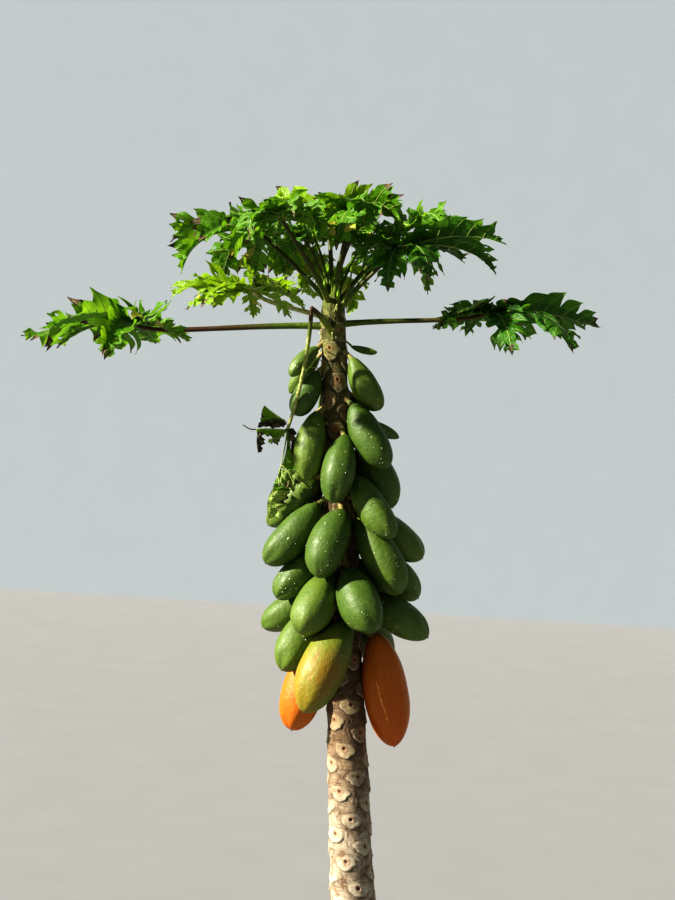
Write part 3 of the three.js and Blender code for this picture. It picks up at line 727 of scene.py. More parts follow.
class FruitShape:
    """Fine shape of one fruit: points on its skin by share along the axis and angle round it."""

    def __init__(self, number, stem, along, length, girth):
        self.random = draws(SEEDS.fruit + number)
        self.stem, self.along, self.length, self.girth = stem, along, length, girth
        self.side = unit(np.cross(along, UP))
        self.back = np.cross(self.side, along)
        self.bow = pick(self.random, FRUIT_MESH.bow) * length
        self.bow_turn = 2 * math.pi * next(self.random)
        self.waist = pick(self.random, FRUIT_MESH.waist)
        self.stem_power = pick(self.random, FRUIT_MESH.stem_power)
        self.tip_power = pick(self.random, FRUIT_MESH.tip_power)
        self.ridge = pick(self.random, FRUIT_MESH.ridge)
        self.seed = SEEDS.fruit_skin + number * 5

    def radius(self, share, turn):
        power = np.where(share**FRUIT.skew < 0.5, self.stem_power, self.tip_power)
        base = fruit_profile(share, power) * (1 - self.waist * bell(share, *FRUIT_MESH.waist_at))
        full = FRUIT_MESH.full - FRUIT_MESH.thin_tip * smooth(0.8, 1, share)
        growth = FRUIT_MESH.ridge_start + FRUIT_MESH.ridge_growth * smooth(0.7, 0.97, share)
        ridges = self.ridge * growth * np.cos(5 * turn + self.bow_turn + 0.6 * share)
        lumps = ripples(self.seed, [(5, 1), (8, 2), (-11, 3), (14, 1), (3, 7), (-4, 10)], share, turn)
        return self.girth / 2 * base * (full + ridges + FRUIT_MESH.lumps * lumps)

    def skin(self, share, turn, out=0.0):
        share, turn = np.broadcast_arrays(np.asarray(share, float), np.asarray(turn, float))
        radius = (self.radius(share, turn) + out)[..., None]
        bend = swing(self.side, self.back, self.bow_turn)
        bowed = (self.bow * 4 * share * (1 - share))[..., None] * bend
        around = swing(self.side, self.back, turn)
        return self.stem + self.along * (share * self.length)[..., None] + bowed + around * radius

    def from_axis(self, points, share):
        """The way from the fruit's straight axis to each point."""
        return points - self.stem - self.along * (share * self.length)[..., None]


def add_scratch(piece, shape, slot):
    """A healed scratch, a little crooked, that stands out of the skin by half its width."""
    way = level(SCRATCH.heading)
    turn = math.atan2(shape.back @ way, shape.side @ way)
    shares = steps(26)
    crooked = SCRATCH.crooked * waver(SEEDS.scratch, (5, 11, 23), shares)
    points = shape.skin(between(shares, *SCRATCH.ends), turn + 0.25 * shares + crooked, -0.6)
    radii = SCRATCH.radius * np.sin(np.pi * between(shares, 0.08, 0.95)) ** 0.5
    radii = radii * (1 + 0.55 * waver(SEEDS.scratch + 1, (13, 27, 41), shares))
    piece.tube(points, unit(np.gradient(points, axis=0)), np.maximum(radii, 0.3), 7, slot)


def ripe_values(number, shape, points, share):
    """How ripe the skin is at each point: riper to the tip, and on the sunward side of the turning fruit,
    partly its own turning colour and partly painted light.
    """
    ripeness = RIPENESS.get(number, 0.03 + 0.05 * (number % 3))
    if number == TURNING.fruit:
        # Yellower towards the sun: partly ripeness, partly painted light.
        side = shape.from_axis(points, share) @ level(TURNING.ripe_side)
        return ripeness + 0.3 * (share - 0.6) + 0.3 * side / shape.girth
    if number in RIPENESS:
        return ripeness - 0.14 * (1 - share)
    return ripeness + 0.05 * (share - 0.5)


def bruise_values(number, shape, points, share):
    """Rust on the turning fruit, as a share for each point: small spots, and a long patch in front."""
    if number != TURNING.fruit:
        return np.zeros(share.shape)
    across = points[..., 0] / 9
    spots = ripples(SEEDS.spots + number, [(9, 1), (14, 3), (23, 2), (31, 5)], share * 2, across)
    uneven = 0.12 * ripples(SEEDS.rust + number, [(5, 1), (9, 2), (14, 4), (23, 3)], share * 2, across)
    facing = unit(shape.from_axis(points, share)) @ level(TURNING.front)
    patch = bell(share, 0.62, 0.24) * smooth(0.5, 1.0, facing + uneven)
    return np.clip(0.35 * smooth(0.7, 1.6, spots) + 0.55 * patch, 0, 0.7)


def dents(number, shape, points, share):
    """How far the turning fruit's points are pressed in by a hollow and a crease, low on its left front."""
    if number != TURNING.fruit:
        return np.zeros_like(points)
    outward = unit(shape.from_axis(points, share))
    facing = outward @ unit(level(TURNING.dented_side) - UP * TURNING.dented_slant)
    hollow = bell(share, 0.74, 0.045) * smooth(0.8, 0.99, facing)
    slanting = share - 0.25 * (outward @ level(TURNING.crease_side))
    crease = bell(slanting, 0.66, 0.03) * smooth(0.72, 0.95, facing)
    return -outward * (hollow * 5 + crease * 3)[..., None]


def add_speck(piece, shape, share, turn, size, drip, slot):
    """A flattened drop of dried latex on the skin, drawn out downwards where it ran."""
    spots = round_turns(SPECKS.sides)
    radius = max(shape.radius(np.array(share), np.array(turn)), 4.0)
    down = np.cos(spots) * size * np.where(np.cos(spots) > 0, drip, 1) / shape.length
    ring = shape.skin(np.clip(share + down, 0.02, 0.98), turn + np.sin(spots) * size / radius, 0.15)
    index = piece.add_points(ring)
    piece.fan(index, shape.skin(share, turn, size * 0.42 + 0.2), slot)
    piece.fan(index, shape.skin(share, turn, -0.6), slot, flip=True)


def add_specks(piece, number, shape, slot):
    """Scatters specks over a fruit. The ripest has few."""
    random = shape.random
    count = int(SPECKS.count * min(1, shape.girth / 100) * pick(random, SPECKS.numbers))
    if RIPENESS.get(number, 0) > 0.9:
        count //= 5
    for _ in range(count):
        share = between(next(random) ** 0.8, 0.08, 0.95)
        size = between(next(random) ** 3, *SPECKS.radius)
        drip = SPECKS.drip if next(random) < SPECKS.drips else SPECKS.drop
        add_speck(piece, shape, share, 2 * math.pi * next(random), size, drip, slot)


def add_neck(piece, shape, slot):
    """The stalk from the trunk to the fruit's stem end, with a knot low on it and a collar at the fruit."""
    z = shape.stem[2] + NECK.rise
    out = shape.stem - trunk_middle(shape.stem[2])
    out[2] = 0
    foot = trunk_middle(z) + unit(out) * trunk_radius(z) * (1 - NECK.depth)
    end = shape.stem + shape.along * shape.girth * NECK.end_depth
    middle = foot + (end - foot) * NECK.arch_at + UP * NECK.arch
    shares = steps(NECK_MESH.rings)
    radii = between(shares, *NECK.radius) * min(1, shape.girth / NECK.thin_below) * NECK_MESH.slim
    knot = NECK_MESH.knot * bell(shares, 0.3, 0.12)
    radii = radii * (1 + knot + NECK_MESH.collar * smooth(0.6, 0.8, shares))
    radii = radii * (1 + NECK_MESH.uneven * waver(shape.seed + 2, (20, 34, 55), shares))
    piece.limb([foot, middle, end], radii, NECK_MESH.sides, slot)


def add_nub(piece, shape, slot):
    """The dry remains of the flower at the tip."""
    size = np.clip(shape.girth * NUB.size, *NUB.limits)
    foot = shape.skin(1, 0) - shape.along * size * NUB.depth
    points = foot + shape.along * (steps(len(NUB.radii)) * size * NUB.length)[:, None]
    tangents = np.tile(shape.along, (len(points), 1))
    piece.tube(points, tangents, size * np.array(NUB.radii), NUB.sides, slot)


def make_fruit(number):
    node = f"fruit_{number:02d}"
    shape = FruitShape(number, *fruit_axis(node))
    piece = Piece(node + "_skin")
    rises = np.linspace(0, np.pi, FRUIT_MESH.rings)[1:-1]
    share, turn = np.meshgrid((1 - np.cos(rises)) / 2, round_turns(FRUIT_MESH.sides), indexing="ij")
    points = shape.skin(share, turn)
    ripe = ripe_values(number, shape, points, share)
    bruise = bruise_values(number, shape, points, share)
    points = points + dents(number, shape, points, share)
    index = piece.grid(points, around=True, ripe=ripe, bruise=bruise)
    for ring, end, flip in ((0, 0, False), (-1, 1, True)):
        piece.fan(index[ring, :-1], shape.skin(end, 0), flip=flip, ripe=ripe[ring].mean())
    add_neck(piece, shape, 1)
    add_nub(piece, shape, 2)
    add_specks(piece, number, shape, 3)
    if number == SCRATCH.fruit:
        add_scratch(piece, shape, 4)
    materials = ["fruit", "neck", "fruit_end", "latex", "scratch"]
    piece.make(materials, [node], FRUIT_SLOTS.get(number, "fruit_green"))


# Leaves

LEAF_MESH = Sizes(rows=15, columns=9, strip_rows=46, strip_columns=9, rib_rings=28)
# Material of a blade's faces, by number: the leaf's tint is 0, and these follow it.
BLADE_EXTRAS = ["yellow", "dry", "vein", "pale", "fresh"]
YELLOW_SLOT, DRY_SLOT, VEIN_SLOT, PALE_SLOT, FRESH_SLOT = range(1, 6)
# Side lobes along each side of a rib: where it leaves the rib, its length, and its half width at the foot
# and at the belly, as shares of the lobe's length.
SIDE_LOBES = [
    (0.16, 0.2, 0.09, 0.066), (0.32, 0.31, 0.09, 0.086), (0.48, 0.27, 0.09, 0.078),
    (0.63, 0.27, 0.085, 0.074), (0.77, 0.19, 0.075, 0.06), (0.89, 0.1, 0.055, 0.036),
]
# A side lobe leaves the rib at a slant that grows less towards its tip. It turns about its own vein, its
# edges stand up or hang, and they are ruffled, all by random amounts between these limits. One that is
# shorter than full_ruffle or full_vein has less of either, and none is narrower than twice the least.
SIDE_LOBE = Sizes(
    shift=(-0.02, 0.02), reach=(0.78, 1.1), belly=(0.85, 1.15), slant=(0.95, 1.2), sweep=0.45, twist=0.9,
    cup=(-0.2, 0.55), ruffle=(1.0, 4.4), ripples=11, full_ruffle=85, sink=0.9, dry_from=(0.7, 0.92),
    holes=0.12, vein=(1.25, 0.3), full_vein=60, least=0.0008,
)
# The strip along a rib: its half width and its ruffles as shares of the lobe, its dry end, and the rib's
# radius at both ends in lobes longer than full_rib.
STRIP = Sizes(width=0.088, ruffle=0.006, ripples=58, dry_from=(0.88, 0.95), rib=(2.7, 0.5), full_rib=240)
# The joined part of a blade between two ribs: how far out it goes, how deep its edge is cut in, and how far
# it hangs under the ribs and is crumpled.
WEB = Sizes(
    reach=0.4, uneven=(0.85, 1.1), notch=0.45, rows=8, columns=9, widest=62, under=1.5, sag=7, crumple=3.5
)
# How the lobes are finished: the chance that a side lobe bends up and how far each kind bends in radians,
# the curl of the lobes' ends, the side lobes' reach, how ruffled they are, and the chances that a side lobe
# is yellow, that its point is dry and that a lobe's end is dry.
LOOK_KEYS = "up bend_up bend_down end_curl reach ruffled yellow dry dry_end".split()
LOOKS = dict(
    fresh=(0.3, (0.3, 1.3), (-1.3, 0.1), (-0.1, 0.5), 1.0, 1.0, 0.02, 0.14, 0.5),
    worn=(0.45, (0.4, 1.5), (-1.5, 0.0), (-0.3, 0.7), 1.05, 1.15, 0.05, 0.35, 0.85),
    tongues=(0.62, (0.7, 1.7), (-1.5, -0.3), (-0.5, 0.4), 1.4, 1.0, 0.04, 0.3, 0.85),
)
LEAF_LOOKS = {0: "tongues", 1: "fresh", 3: "worn", 5: "worn", 7: "worn"}


def lobes_of(leaf, seed):
    """Lobes of a blade, by the solids' own rule and in the same order of draws."""
    random = draws(seed)
    lobes = []
    for i in range(leaf.lobes):
        aside = 2 * i / (leaf.lobes - 1) - 1
        lobe = Sizes(angle=aside * BLADE.spread / 2 + pick(random, BLADE.turns))
        lobe.length = leaf.blade * between(aside**2, 1, BLADE.back_lobe) * pick(random, BLADE.lengths)
        lobe.lift = pick(random, BLADE.lifts) * leaf.sag
        lobe.sag = leaf.sag * pick(random, BLADE.sags)
        lobe.twist = pick(random, BLADE.twists)
        lobe.fold = pick(random, BLADE.folds)
        lobes.append(lobe)
    return lobes


def rib_controls(joint, out, lobe):
    lift, end = math.radians(lobe.lift), math.radians(lobe.lift - lobe.sag)
    middle = joint + swing(out, UP, lift) * lobe.length / 2
    return [joint, middle, middle + swing(out, UP, end) * lobe.length / 2]


def lobe_frame(controls, out, twist, shares):
    """Points, tangents, and directions across and off the blade along a lobe's rib."""
    points, tangents = bezier(controls, shares)
    flat = unit(np.cross(out, UP))
    side = swing(flat, np.cross(out, flat), math.radians(twist))
    across = unit(side - tangents * (tangents @ side)[:, None])
    return points, tangents, across, np.cross(across, tangents)


def chosen_lobe(lobe, joint, out, node_points):
    """The lobe as the solids have it: turned or shortened as far as its neighbours need, or None."""
    if node_points is None:
        return lobe, rib_controls(joint, out, lobe)
    for turn, share in LOBE_TRIES:
        tried = Sizes(**vars(lobe))
        tried.sag += turn
        tried.length *= share
        controls = rib_controls(joint, out, tried)
        points, _, _, normals = lobe_frame(controls, out, lobe.twist, [1.0])
        tip = points[0] + normals[0] * BLADE.thickness / 2
        if np.linalg.norm(node_points - tip, axis=1).min() < 1:
            return tried, controls
    return None


def hole_places(random):
    """Row and column of the gaps that are eaten into some side lobes, beside the middle vein."""
    places = []
    for column in (2, LEAF_MESH.columns - 4):
        row = 3 + int(next(random) * 6)
        if next(random) < SIDE_LOBE.holes:
            places.append((row, column))
    return places


def side_lobe_list(random, look):
    """Side lobes along one side of a rib, each with its sizes, bend and twist."""
    found = []
    for station, reach, foot, belly in SIDE_LOBES:
        way = look.bend_up if next(random) < look.up else look.bend_down
        found.append(Sizes(
            station=station + pick(random, SIDE_LOBE.shift),
            reach=reach * pick(random, SIDE_LOBE.reach) * look.reach,
            foot=foot,
            belly=belly * pick(random, SIDE_LOBE.belly),
            bend=pick(random, way),
            slant=pick(random, SIDE_LOBE.slant),
            twist=pick(random, (-1, 1)) * SIDE_LOBE.twist * look.ruffled,
            cup=pick(random, SIDE_LOBE.cup),
            ruffle=pick(random, SIDE_LOBE.ruffle) * look.ruffled,
            phase=2 * math.pi * next(random),
            slot=YELLOW_SLOT if next(random) < look.yellow else 0,
            dry=pick(random, SIDE_LOBE.dry_from) if next(random) < look.dry else 2,
            holes=hole_places(random),
        ))
    return found


def side_lobe_width(shares, side):
    """Half width along a side lobe: a broad foot, a round belly and a drawn-out tip."""
    full = between(smooth(0, 0.38, shares), side.foot, side.belly) * (1 - 0.86 * smooth(0.5, 0.94, shares))
    return full * np.clip((1 - shares) * 9, 0, 1) ** 0.7 + SIDE_LOBE.least


def strip_width(shares):
    """Half width of the strip along a rib."""
    body = STRIP.width * smooth(-0.05, 0.16, shares) * (1 - 0.35 * smooth(0.3, 0.8, shares))
    return body * np.clip((1 - shares) / 0.17, 0, 1) ** 0.9 + SIDE_LOBE.least


def rib_line(controls, out, lobe, curl, stations):
    """Frames along a rib whose end curls down further than the solids' does."""
    base, tangents, across, normals = lobe_frame(controls, out, lobe.twist, stations)
    down = (curl * lobe.length * smooth(0.72, 1.15, stations))[:, None]
    return base - normals * down, tangents, across, normals


def add_side_lobe(piece, line, side, sign, length, fold):
    """A tongue that leaves the rib at a slant and bends up or down on its own way."""
    rows, columns = LEAF_MESH.rows, LEAF_MESH.columns
    shares, spots = steps(rows), np.linspace(-1, 1, columns)
    base, tangent, across, normal = (found[0] for found in line(np.array([side.station])))
    rise = math.atan(fold) + side.bend * shares**1.3
    ways = swing(tangent, swing(across * sign, normal, rise), side.slant - SIDE_LOBE.sweep * shares)
    long = side.reach * length
    reach = np.vstack([np.zeros(3), np.cumsum((ways[1:] + ways[:-1]) / 2 * long / (rows - 1), 0)])
    square = unit(tangent - ways * (ways @ tangent)[:, None])
    beside = unit(between(smooth(0, 0.45, shares)[:, None], tangent, square))
    beside = swing(beside, np.cross(ways, beside), side.twist * smooth(0.15, 1, shares))
    facing = unit(np.cross(beside, ways) * -sign)
    aside = side_lobe_width(shares, side)[:, None] * length * spots
    curved = line(side.station + aside.ravel() / length)[0].reshape(rows, columns, 3)
    free = smooth(0.1, 0.6, shares)[:, None]
    surface = between(free[..., None], curved, base + beside[:, None] * aside[..., None]) + reach[:, None]
    waves = np.sin(shares[:, None] * SIDE_LOBE.ripples + side.phase + 2.3 * spots) * side.ruffle
    waves = waves * min(1, long / SIDE_LOBE.full_ruffle) * abs(spots) ** 1.4
    off = abs(aside) * side.cup * free + waves * smooth(0.1, 0.4, shares)[:, None]
    surface = surface + facing[:, None] * (off - SIDE_LOBE.sink * (1 - free))[..., None]
    slots = np.full((rows - 1, columns - 1), side.slot)
    slots[shares[1:] > side.dry] = DRY_SLOT
    for row, column in side.holes:
        slots[row : row + 2, column] = -1
    piece.grid(surface, slots, flip=sign < 0)
    radii = between(shares[:-1:2], *SIDE_LOBE.vein) * min(1, long / SIDE_LOBE.full_vein + 0.25)
    middle = surface[:-1:2, columns // 2] - facing[:-1:2] * (radii * 0.3)[:, None]
    piece.tube(middle, ways[:-1:2], radii, 4, VEIN_SLOT)


def add_lobe(piece, lobe, controls, out, random, look):
    """One lobe of a blade: the strip along its rib, the side lobes on both sides, and the rib itself."""
    curl = 0.3 * pick(random, look.end_curl)

    def line(stations):
        return rib_line(controls, out, lobe, curl, stations)

    shares, spots = steps(LEAF_MESH.strip_rows), np.linspace(-1, 1, LEAF_MESH.strip_columns)
    base, _, across, normals = line(shares)
    aside = (strip_width(shares) * lobe.length)[:, None] * spots
    waves = np.sin(shares[:, None] * STRIP.ripples + 2 * math.pi * next(random) + 2 * spots)
    waves = waves * lobe.length * STRIP.ruffle * look.ruffled * abs(spots) ** 1.5
    off = abs(aside) * lobe.fold + waves * smooth(0.1, 0.3, shares)[:, None]
    surface = base[:, None] + across[:, None] * aside[..., None] + normals[:, None] * off[..., None]
    slots = np.zeros((len(shares) - 1, len(spots) - 1))
    if next(random) < look.dry_end:
        slots[shares[1:] > pick(random, STRIP.dry_from)] = DRY_SLOT
    piece.grid(surface, slots, flip=True)
    for sign in (1, -1):
        for side in side_lobe_list(random, look):
            add_side_lobe(piece, line, side, sign, lobe.length, lobe.fold)
    shares = np.linspace(0, 0.97, LEAF_MESH.rib_rings)
    base, tangents, _, normals = line(shares)
    radii = between(shares**0.7, *STRIP.rib) * min(1, lobe.length / STRIP.full_rib)
    piece.tube(base - normals * (radii * 0.5)[:, None], tangents, radii, 6, VEIN_SLOT)


def add_web(piece, first, second, random):
    """Joined part of the blade between two neighbouring ribs, near the joint."""
    rows, over = steps(WEB.rows)[:, None], steps(WEB.columns)
    depth = WEB.reach * pick(random, WEB.uneven) * (1 - WEB.notch * np.sin(np.pi * over) ** 0.8)
    shares = 0.015 + rows * depth
    ends = [bezier(controls, shares.ravel())[0].reshape(*shares.shape, 3) for controls in (first, second)]
    surface = ends[0] * (1 - over)[None, :, None] + ends[1] * over[None, :, None]
    outwards = rows * np.sin(np.pi * over)
    crumple = ripples(int(1e6 * next(random)), [(2, 1), (4, 2), (3, 3)], over[None, :] * 3, outwards * 2)
    facing = np.cross(np.gradient(surface, axis=0), np.gradient(surface, axis=1))
    facing = facing / np.maximum(np.linalg.norm(facing, axis=-1, keepdims=True), 1e-9)
    sign = -1 if facing[..., 2].mean() > 0 else 1
    lower = WEB.under + WEB.sag * outwards + WEB.crumple * crumple * outwards
    piece.grid(surface + facing * (sign * lower)[..., None])


def add_blade(piece, leaf, joint, seed, node_points, look):
    """All the lobes of a blade, and the joined parts between neighbours."""
    random = draws(SEEDS.lobes + seed)
    before = None
    for lobe in lobes_of(leaf, seed):
        pitch = leaf.pitch * math.cos(math.radians(lobe.angle))
        out = rising(leaf.heading - lobe.angle, pitch)
        found = chosen_lobe(lobe, joint, out, node_points)
        if not found:
            continue
        add_lobe(piece, *found, out, random, look)
        if before and lobe.angle - before[0] < WEB.widest:
            add_web(piece, before[1], found[1], random)
        before = lobe.angle, found[1]


def stalk_controls(leaf):
    foot = on_trunk(leaf.height, leaf.heading, trunk_radius(leaf.height) * STALK.foot_depth)
    start = rising(leaf.heading, leaf.rise)
    knee = foot + start * leaf.stalk / 2 + rising(leaf.heading, leaf.end) * leaf.stalk / 2
    joint = knee + rising(leaf.heading, STALK.hook_rise) * STALK.hook
    return [foot, foot + start * leaf.stalk * STALK.straight, knee, joint]


HUB = Sizes(rings=9, sides=14, three_ridges=0.12, five_ridges=0.08, flat=0.7)


def add_hub(piece, joint, radius, age):
    """The swollen place at the end of a stalk where the ribs part."""
    rises = np.linspace(-np.pi / 2, np.pi / 2, HUB.rings)[1:-1]
    rise, turn = np.meshgrid(rises, round_turns(HUB.sides), indexing="ij")
    size = radius * (1 + HUB.three_ridges * np.cos(3 * turn) + HUB.five_ridges * np.cos(5 * turn + 1))
    ball = np.stack([np.cos(rise) * np.cos(turn), np.cos(rise) * np.sin(turn), HUB.flat * np.sin(rise)], -1)
    index = piece.grid(joint + ball * size[..., None], around=True, age=age)
    for end, way in ((0, -1), (-1, 1)):
        piece.fan(index[end, :-1], joint + UP * radius * HUB.flat * way, flip=way > 0, age=age)


# Age of the stalks at the foot and at the end, as a number that their material turns into a colour.
STALK_AGES = {0: (0.4, 0.98), 1: (0.46, 0.76), 2: (0.04, 0.14)}
OTHER_AGES = (0.4, 0.7)
# Stalks are slimmer than the solids', those of young leaves even more. A hub is the swollen end.
STALK_MESH = Sizes(rings=64, sides=18, uneven=0.03, hub=10.5, hub_age=0.35, slim=0.88, young_slim=0.6)
# Smaller leaves inside the crown, which the solids leave out, with the same columns as the leaves.
# Their deep tint is painted shade, as on the leaves.
YOUNG_ROWS = [
    (2300, 96, 190, 74, 66, 150, 7, 0, 96, "grass"),
    (2304, 150, 200, 78, 70, 140, 7, 0, 92, "deep"),
    (2306, 226, 180, 76, 66, 150, 7, 0, 98, "grass"),
    (2300, 292, 150, 74, 64, 140, 7, 0, 100, "deep"),
    (2304, 30, 140, 76, 68, 130, 7, 0, 100, "grass"),
]


def add_stalk(piece, leaf, seed, ages, slim):
    """A leaf's stalk and the hub at its end. Returns the point where the ribs part."""
    controls = stalk_controls(leaf)
    shares = steps(STALK_MESH.rings)
    radii = between(shares, STALK.foot_radius, STALK.tip_radius)
    radii = radii + STALK.swell * np.exp(-shares * STALK.swell_fade)
    radii = radii * between(leaf.stalk / STALK.full_length, STALK.slenderest, 1) * slim
    radii = radii * (1 + STALK_MESH.uneven * waver(seed, (9, 17, 33), shares))
    piece.limb(controls, radii, STALK_MESH.sides, age=between(smooth(0, 0.6, shares), *ages))
    add_hub(piece, controls[-1], STALK_MESH.hub * slim / STALK_MESH.slim, STALK_MESH.hub_age)
    return controls[-1]


def make_leaf(name, row, seeds, ages, slim, node, look):
    """A leaf in two pieces, its stalk and its blade, with a seed for each. A young leaf has no node."""
    leaf = named(LEAF_KEYS, row)
    stalk, blade = Piece(name + "_stalk"), Piece(name + "_blade")
    nodes = [node] if node else []
    joint = add_stalk(stalk, leaf, seeds[0], ages, slim)
    stalk.make(["stalk"], nodes, "leaf_green")
    node_points = solid_points(node)[0] if node else None
    add_blade(blade, leaf, joint, seeds[1], node_points, named(LOOK_KEYS, LOOKS[look]))
    blade.make([leaf.tint, *BLADE_EXTRAS], nodes, "leaf_green")


def make_leaves():
    for i, row in enumerate(LEAF_ROWS):
        name, seeds = f"leaf_{i + 1:02d}", (SEEDS.stalk + i, FIRST_SEED + i)
        ages, look = STALK_AGES.get(i, OTHER_AGES), LEAF_LOOKS.get(i, "fresh")
        make_leaf(name, row, seeds, ages, STALK_MESH.slim, name, look)
    for i, row in enumerate(YOUNG_ROWS):
        name, seeds = f"young_leaf_{i + 1:02d}", (SEEDS.young_stalk + i, SEEDS.young_blade + i)
        make_leaf(name, row, seeds, OTHER_AGES, STALK_MESH.young_slim, None, "worn")


# Broken leaf

# The blade is wilted rags and bare ribs. A rag hangs between two lines, whose three points each are so far
# across, up and forward from the joint. Then come how far it is crumpled and torn, how deep and how many
# its pleats are, the share of it that is dry, and its colour.
RAG_KEYS = "crumple tear pleat folds dry slot".split()
RAG_ROWS = [
    ((-6, 28, 2), (-36, 42, 10), (-71, 69, 4), (-80, 13, 8), (-86, 42, 0), (-72, 70, 4),
     2, 0.05, 1, 3, 0.05, FRESH_SLOT),
    ((-2, 24, 6), (-36, 44, 10), (-84, 18, 12), (-8, 5, 4), (-45, 4, 12), (-88, 2, 8),
     6, 0.2, 5, 9, 1, 0),
    ((-6, 0, 2), (-45, 3, 8), (-93, -2, 4), (-8, -36, 8), (-46, -30, -6), (-86, -18, 2),
     3, 0.35, 2, 4, 0.1, FRESH_SLOT),
    ((-86, -10, 4), (-92, -34, 10), (-82, -72, 2), (-66, -10, 2), (-56, -40, -8), (-68, -66, 4),
     6, 0.4, 3, 4, 1, 0),
    ((-22, -24, 8), (-38, -22, 12), (-56, -32, 4), (-16, -40, 2), (-32, -48, 8), (-52, -44, 0),
     4, 0.4, 2, 3, 0.3, PALE_SLOT),
    ((2, 8, 4), (16, -18, 10), (18, -80, 2), (22, 6, -6), (44, -26, -14), (36, -68, -4),
     8, 0.5, 4, 6, 1, 0),
    ((-2, -4, 2), (2, -30, -6), (2, -54, 0), (14, -4, -2), (20, -30, 8), (10, -60, 4),
     4, 0.4, 2, 3, 0.2, FRESH_SLOT),
    ((2, -46, 0), (-2, -84, 6), (-11, -112, 2), (10, -48, -2), (56, -96, -8), (34, -128, 2),
     3, 0.06, 2, 2, 0.04, FRESH_SLOT),
    ((-18, -116, 4), (12, -114, 14), (60, -120, 4), (-18, -172, 10), (26, -186, 12), (78, -162, -2),
     6, 0.35, 2.5, 5, 0.14, PALE_SLOT),
    ((-12, -124, -2), (-36, -160, 10), (-30, -182, 8), (30, -128, -4), (30, -160, 2), (30, -180, 2),
     6, 0.3, 2.5, 4, 0.1, FRESH_SLOT),
    ((-28, -170, 2), (-58, -214, -14), (-40, -266, -18), (22, -168, -4), (20, -214, 0), (4, -256, -10),
     5, 0.35, 2.5, 4, 0.12, PALE_SLOT),
]
RAG_MESH = Sizes(rows=60, columns=26, curl=0.22)
# The ribs: their points, their radius at both ends, and their material.
BARE_RIBS = [
    ([(0, 0, 0), (-45, 4, 10), (-93, -2, 6)], (2.5, 1.3), VEIN_SLOT),
    ([(-93, -2, 6), (-112, -6, 4), (-118, 2, 0), (-132, 9, 2)], (2.2, 1.3), DRY_SLOT),
    ([(0, 0, 2), (-12, -16, 9), (-28, -27, 10)], (2.6, 1.6), VEIN_SLOT),
    ([(0, -2, 4), (-4, -88, 8), (-28, -175, 4)], (2.3, 1.5), VEIN_SLOT),
    ([(-28, -175, 4), (-40, -216, -8), (-38, -258, -18)], (1.5, 0.6), VEIN_SLOT),
    ([(-11, -104, 6), (18, -118, 14), (32, -174, 10)], (1.6, 1.0), VEIN_SLOT),
    ([(-6, 28, 4), (-36, 42, 12), (-71, 69, 5)], (1.7, 0.7), VEIN_SLOT),
    ([(0, 0, 0), (8, -30, 8), (24, -70, 6)], (1.5, 0.7), DRY_SLOT),
]
# Its stalk: the stub's swollen foot, the pinch after the bend, and the hub at the lower end.
BROKEN_MESH = Sizes(
    stub_rings=34, stub_sides=16, foot_swell=0.5, rings=70, sides=14, pinch=0.35, hub=8, hub_age=0.5,
    stub_ages=(0.3, 0.95), ages=(0.9, 0.17), rib_rings=24, rib_sides=7,
)


def from_joint(joint, places):
    """Points of the plant, from places that are so far across, up and forward from the joint."""
    return [joint + np.array([across, -forward, up]) for across, up, forward in places]


def add_rag(piece, upper, lower, rag, seed):
    """A wilted part of the blade, crumpled and pleated, with a torn lower edge."""
    along, over = steps(RAG_MESH.rows)[:, None], steps(RAG_MESH.columns)[None, :]
    upper, lower = (bezier(controls, along.ravel())[0][:, None] for controls in (upper, lower))
    torn = 1 - rag.tear * (0.5 + 0.5 * waver(seed, (8, 15, 27), along))
    surface = between((over * torn)[..., None], upper, lower)
    facing = unit(np.cross(np.gradient(surface, axis=1), np.gradient(surface, axis=0)) + 1e-6)
    crumple = rag.crumple * ripples(seed + 1, [(5, 3), (8, -4), (13, 6), (19, -9)], along, over)
    uneven = 0.5 * ripples(seed + 5, [(7, 2), (12, -3), (19, 4)], along, over)
    pleats = rag.pleat * abs((along * rag.folds + uneven) % 1 - 0.5) * 2
    breadth = np.linalg.norm(lower - upper, axis=-1)
    off = (crumple + pleats) * (0.25 + smooth(0, 0.3, over))
    off = off + RAG_MESH.curl * breadth * over**2 * waver(seed + 4, (3, 5), along)
    fringe = over + 0.12 * ripples(seed + 2, [(9, 2), (16, -3), (24, 5)], along, over)
    slots = np.where(fringe[1:, 1:] > 1 - rag.dry, 0, rag.slot)
    piece.grid(surface + facing * off[..., None], slots)


def make_broken_stub(bend):
    """The part of the stalk that still stands."""
    foot = on_trunk(BROKEN.height, BROKEN.heading, trunk_radius(BROKEN.height) * BROKEN.foot_depth)
    rise = foot + (bend - foot) * BROKEN.arch_at + UP * BROKEN.arch
    shares = steps(BROKEN_MESH.stub_rings)
    radii = between(shares, BROKEN.stub_radius, BROKEN.bend_radius)
    radii = radii * (1 + BROKEN_MESH.foot_swell * np.exp(-shares * 9))
    stub = Piece("broken_leaf_stub_skin")
    ages = between(smooth(0.5, 1, shares), *BROKEN_MESH.stub_ages)
    stub.limb([foot, rise, bend], radii, BROKEN_MESH.stub_sides, age=ages)
    stub.make(["stalk"], ["broken_leaf_stub"], "leaf_withered")


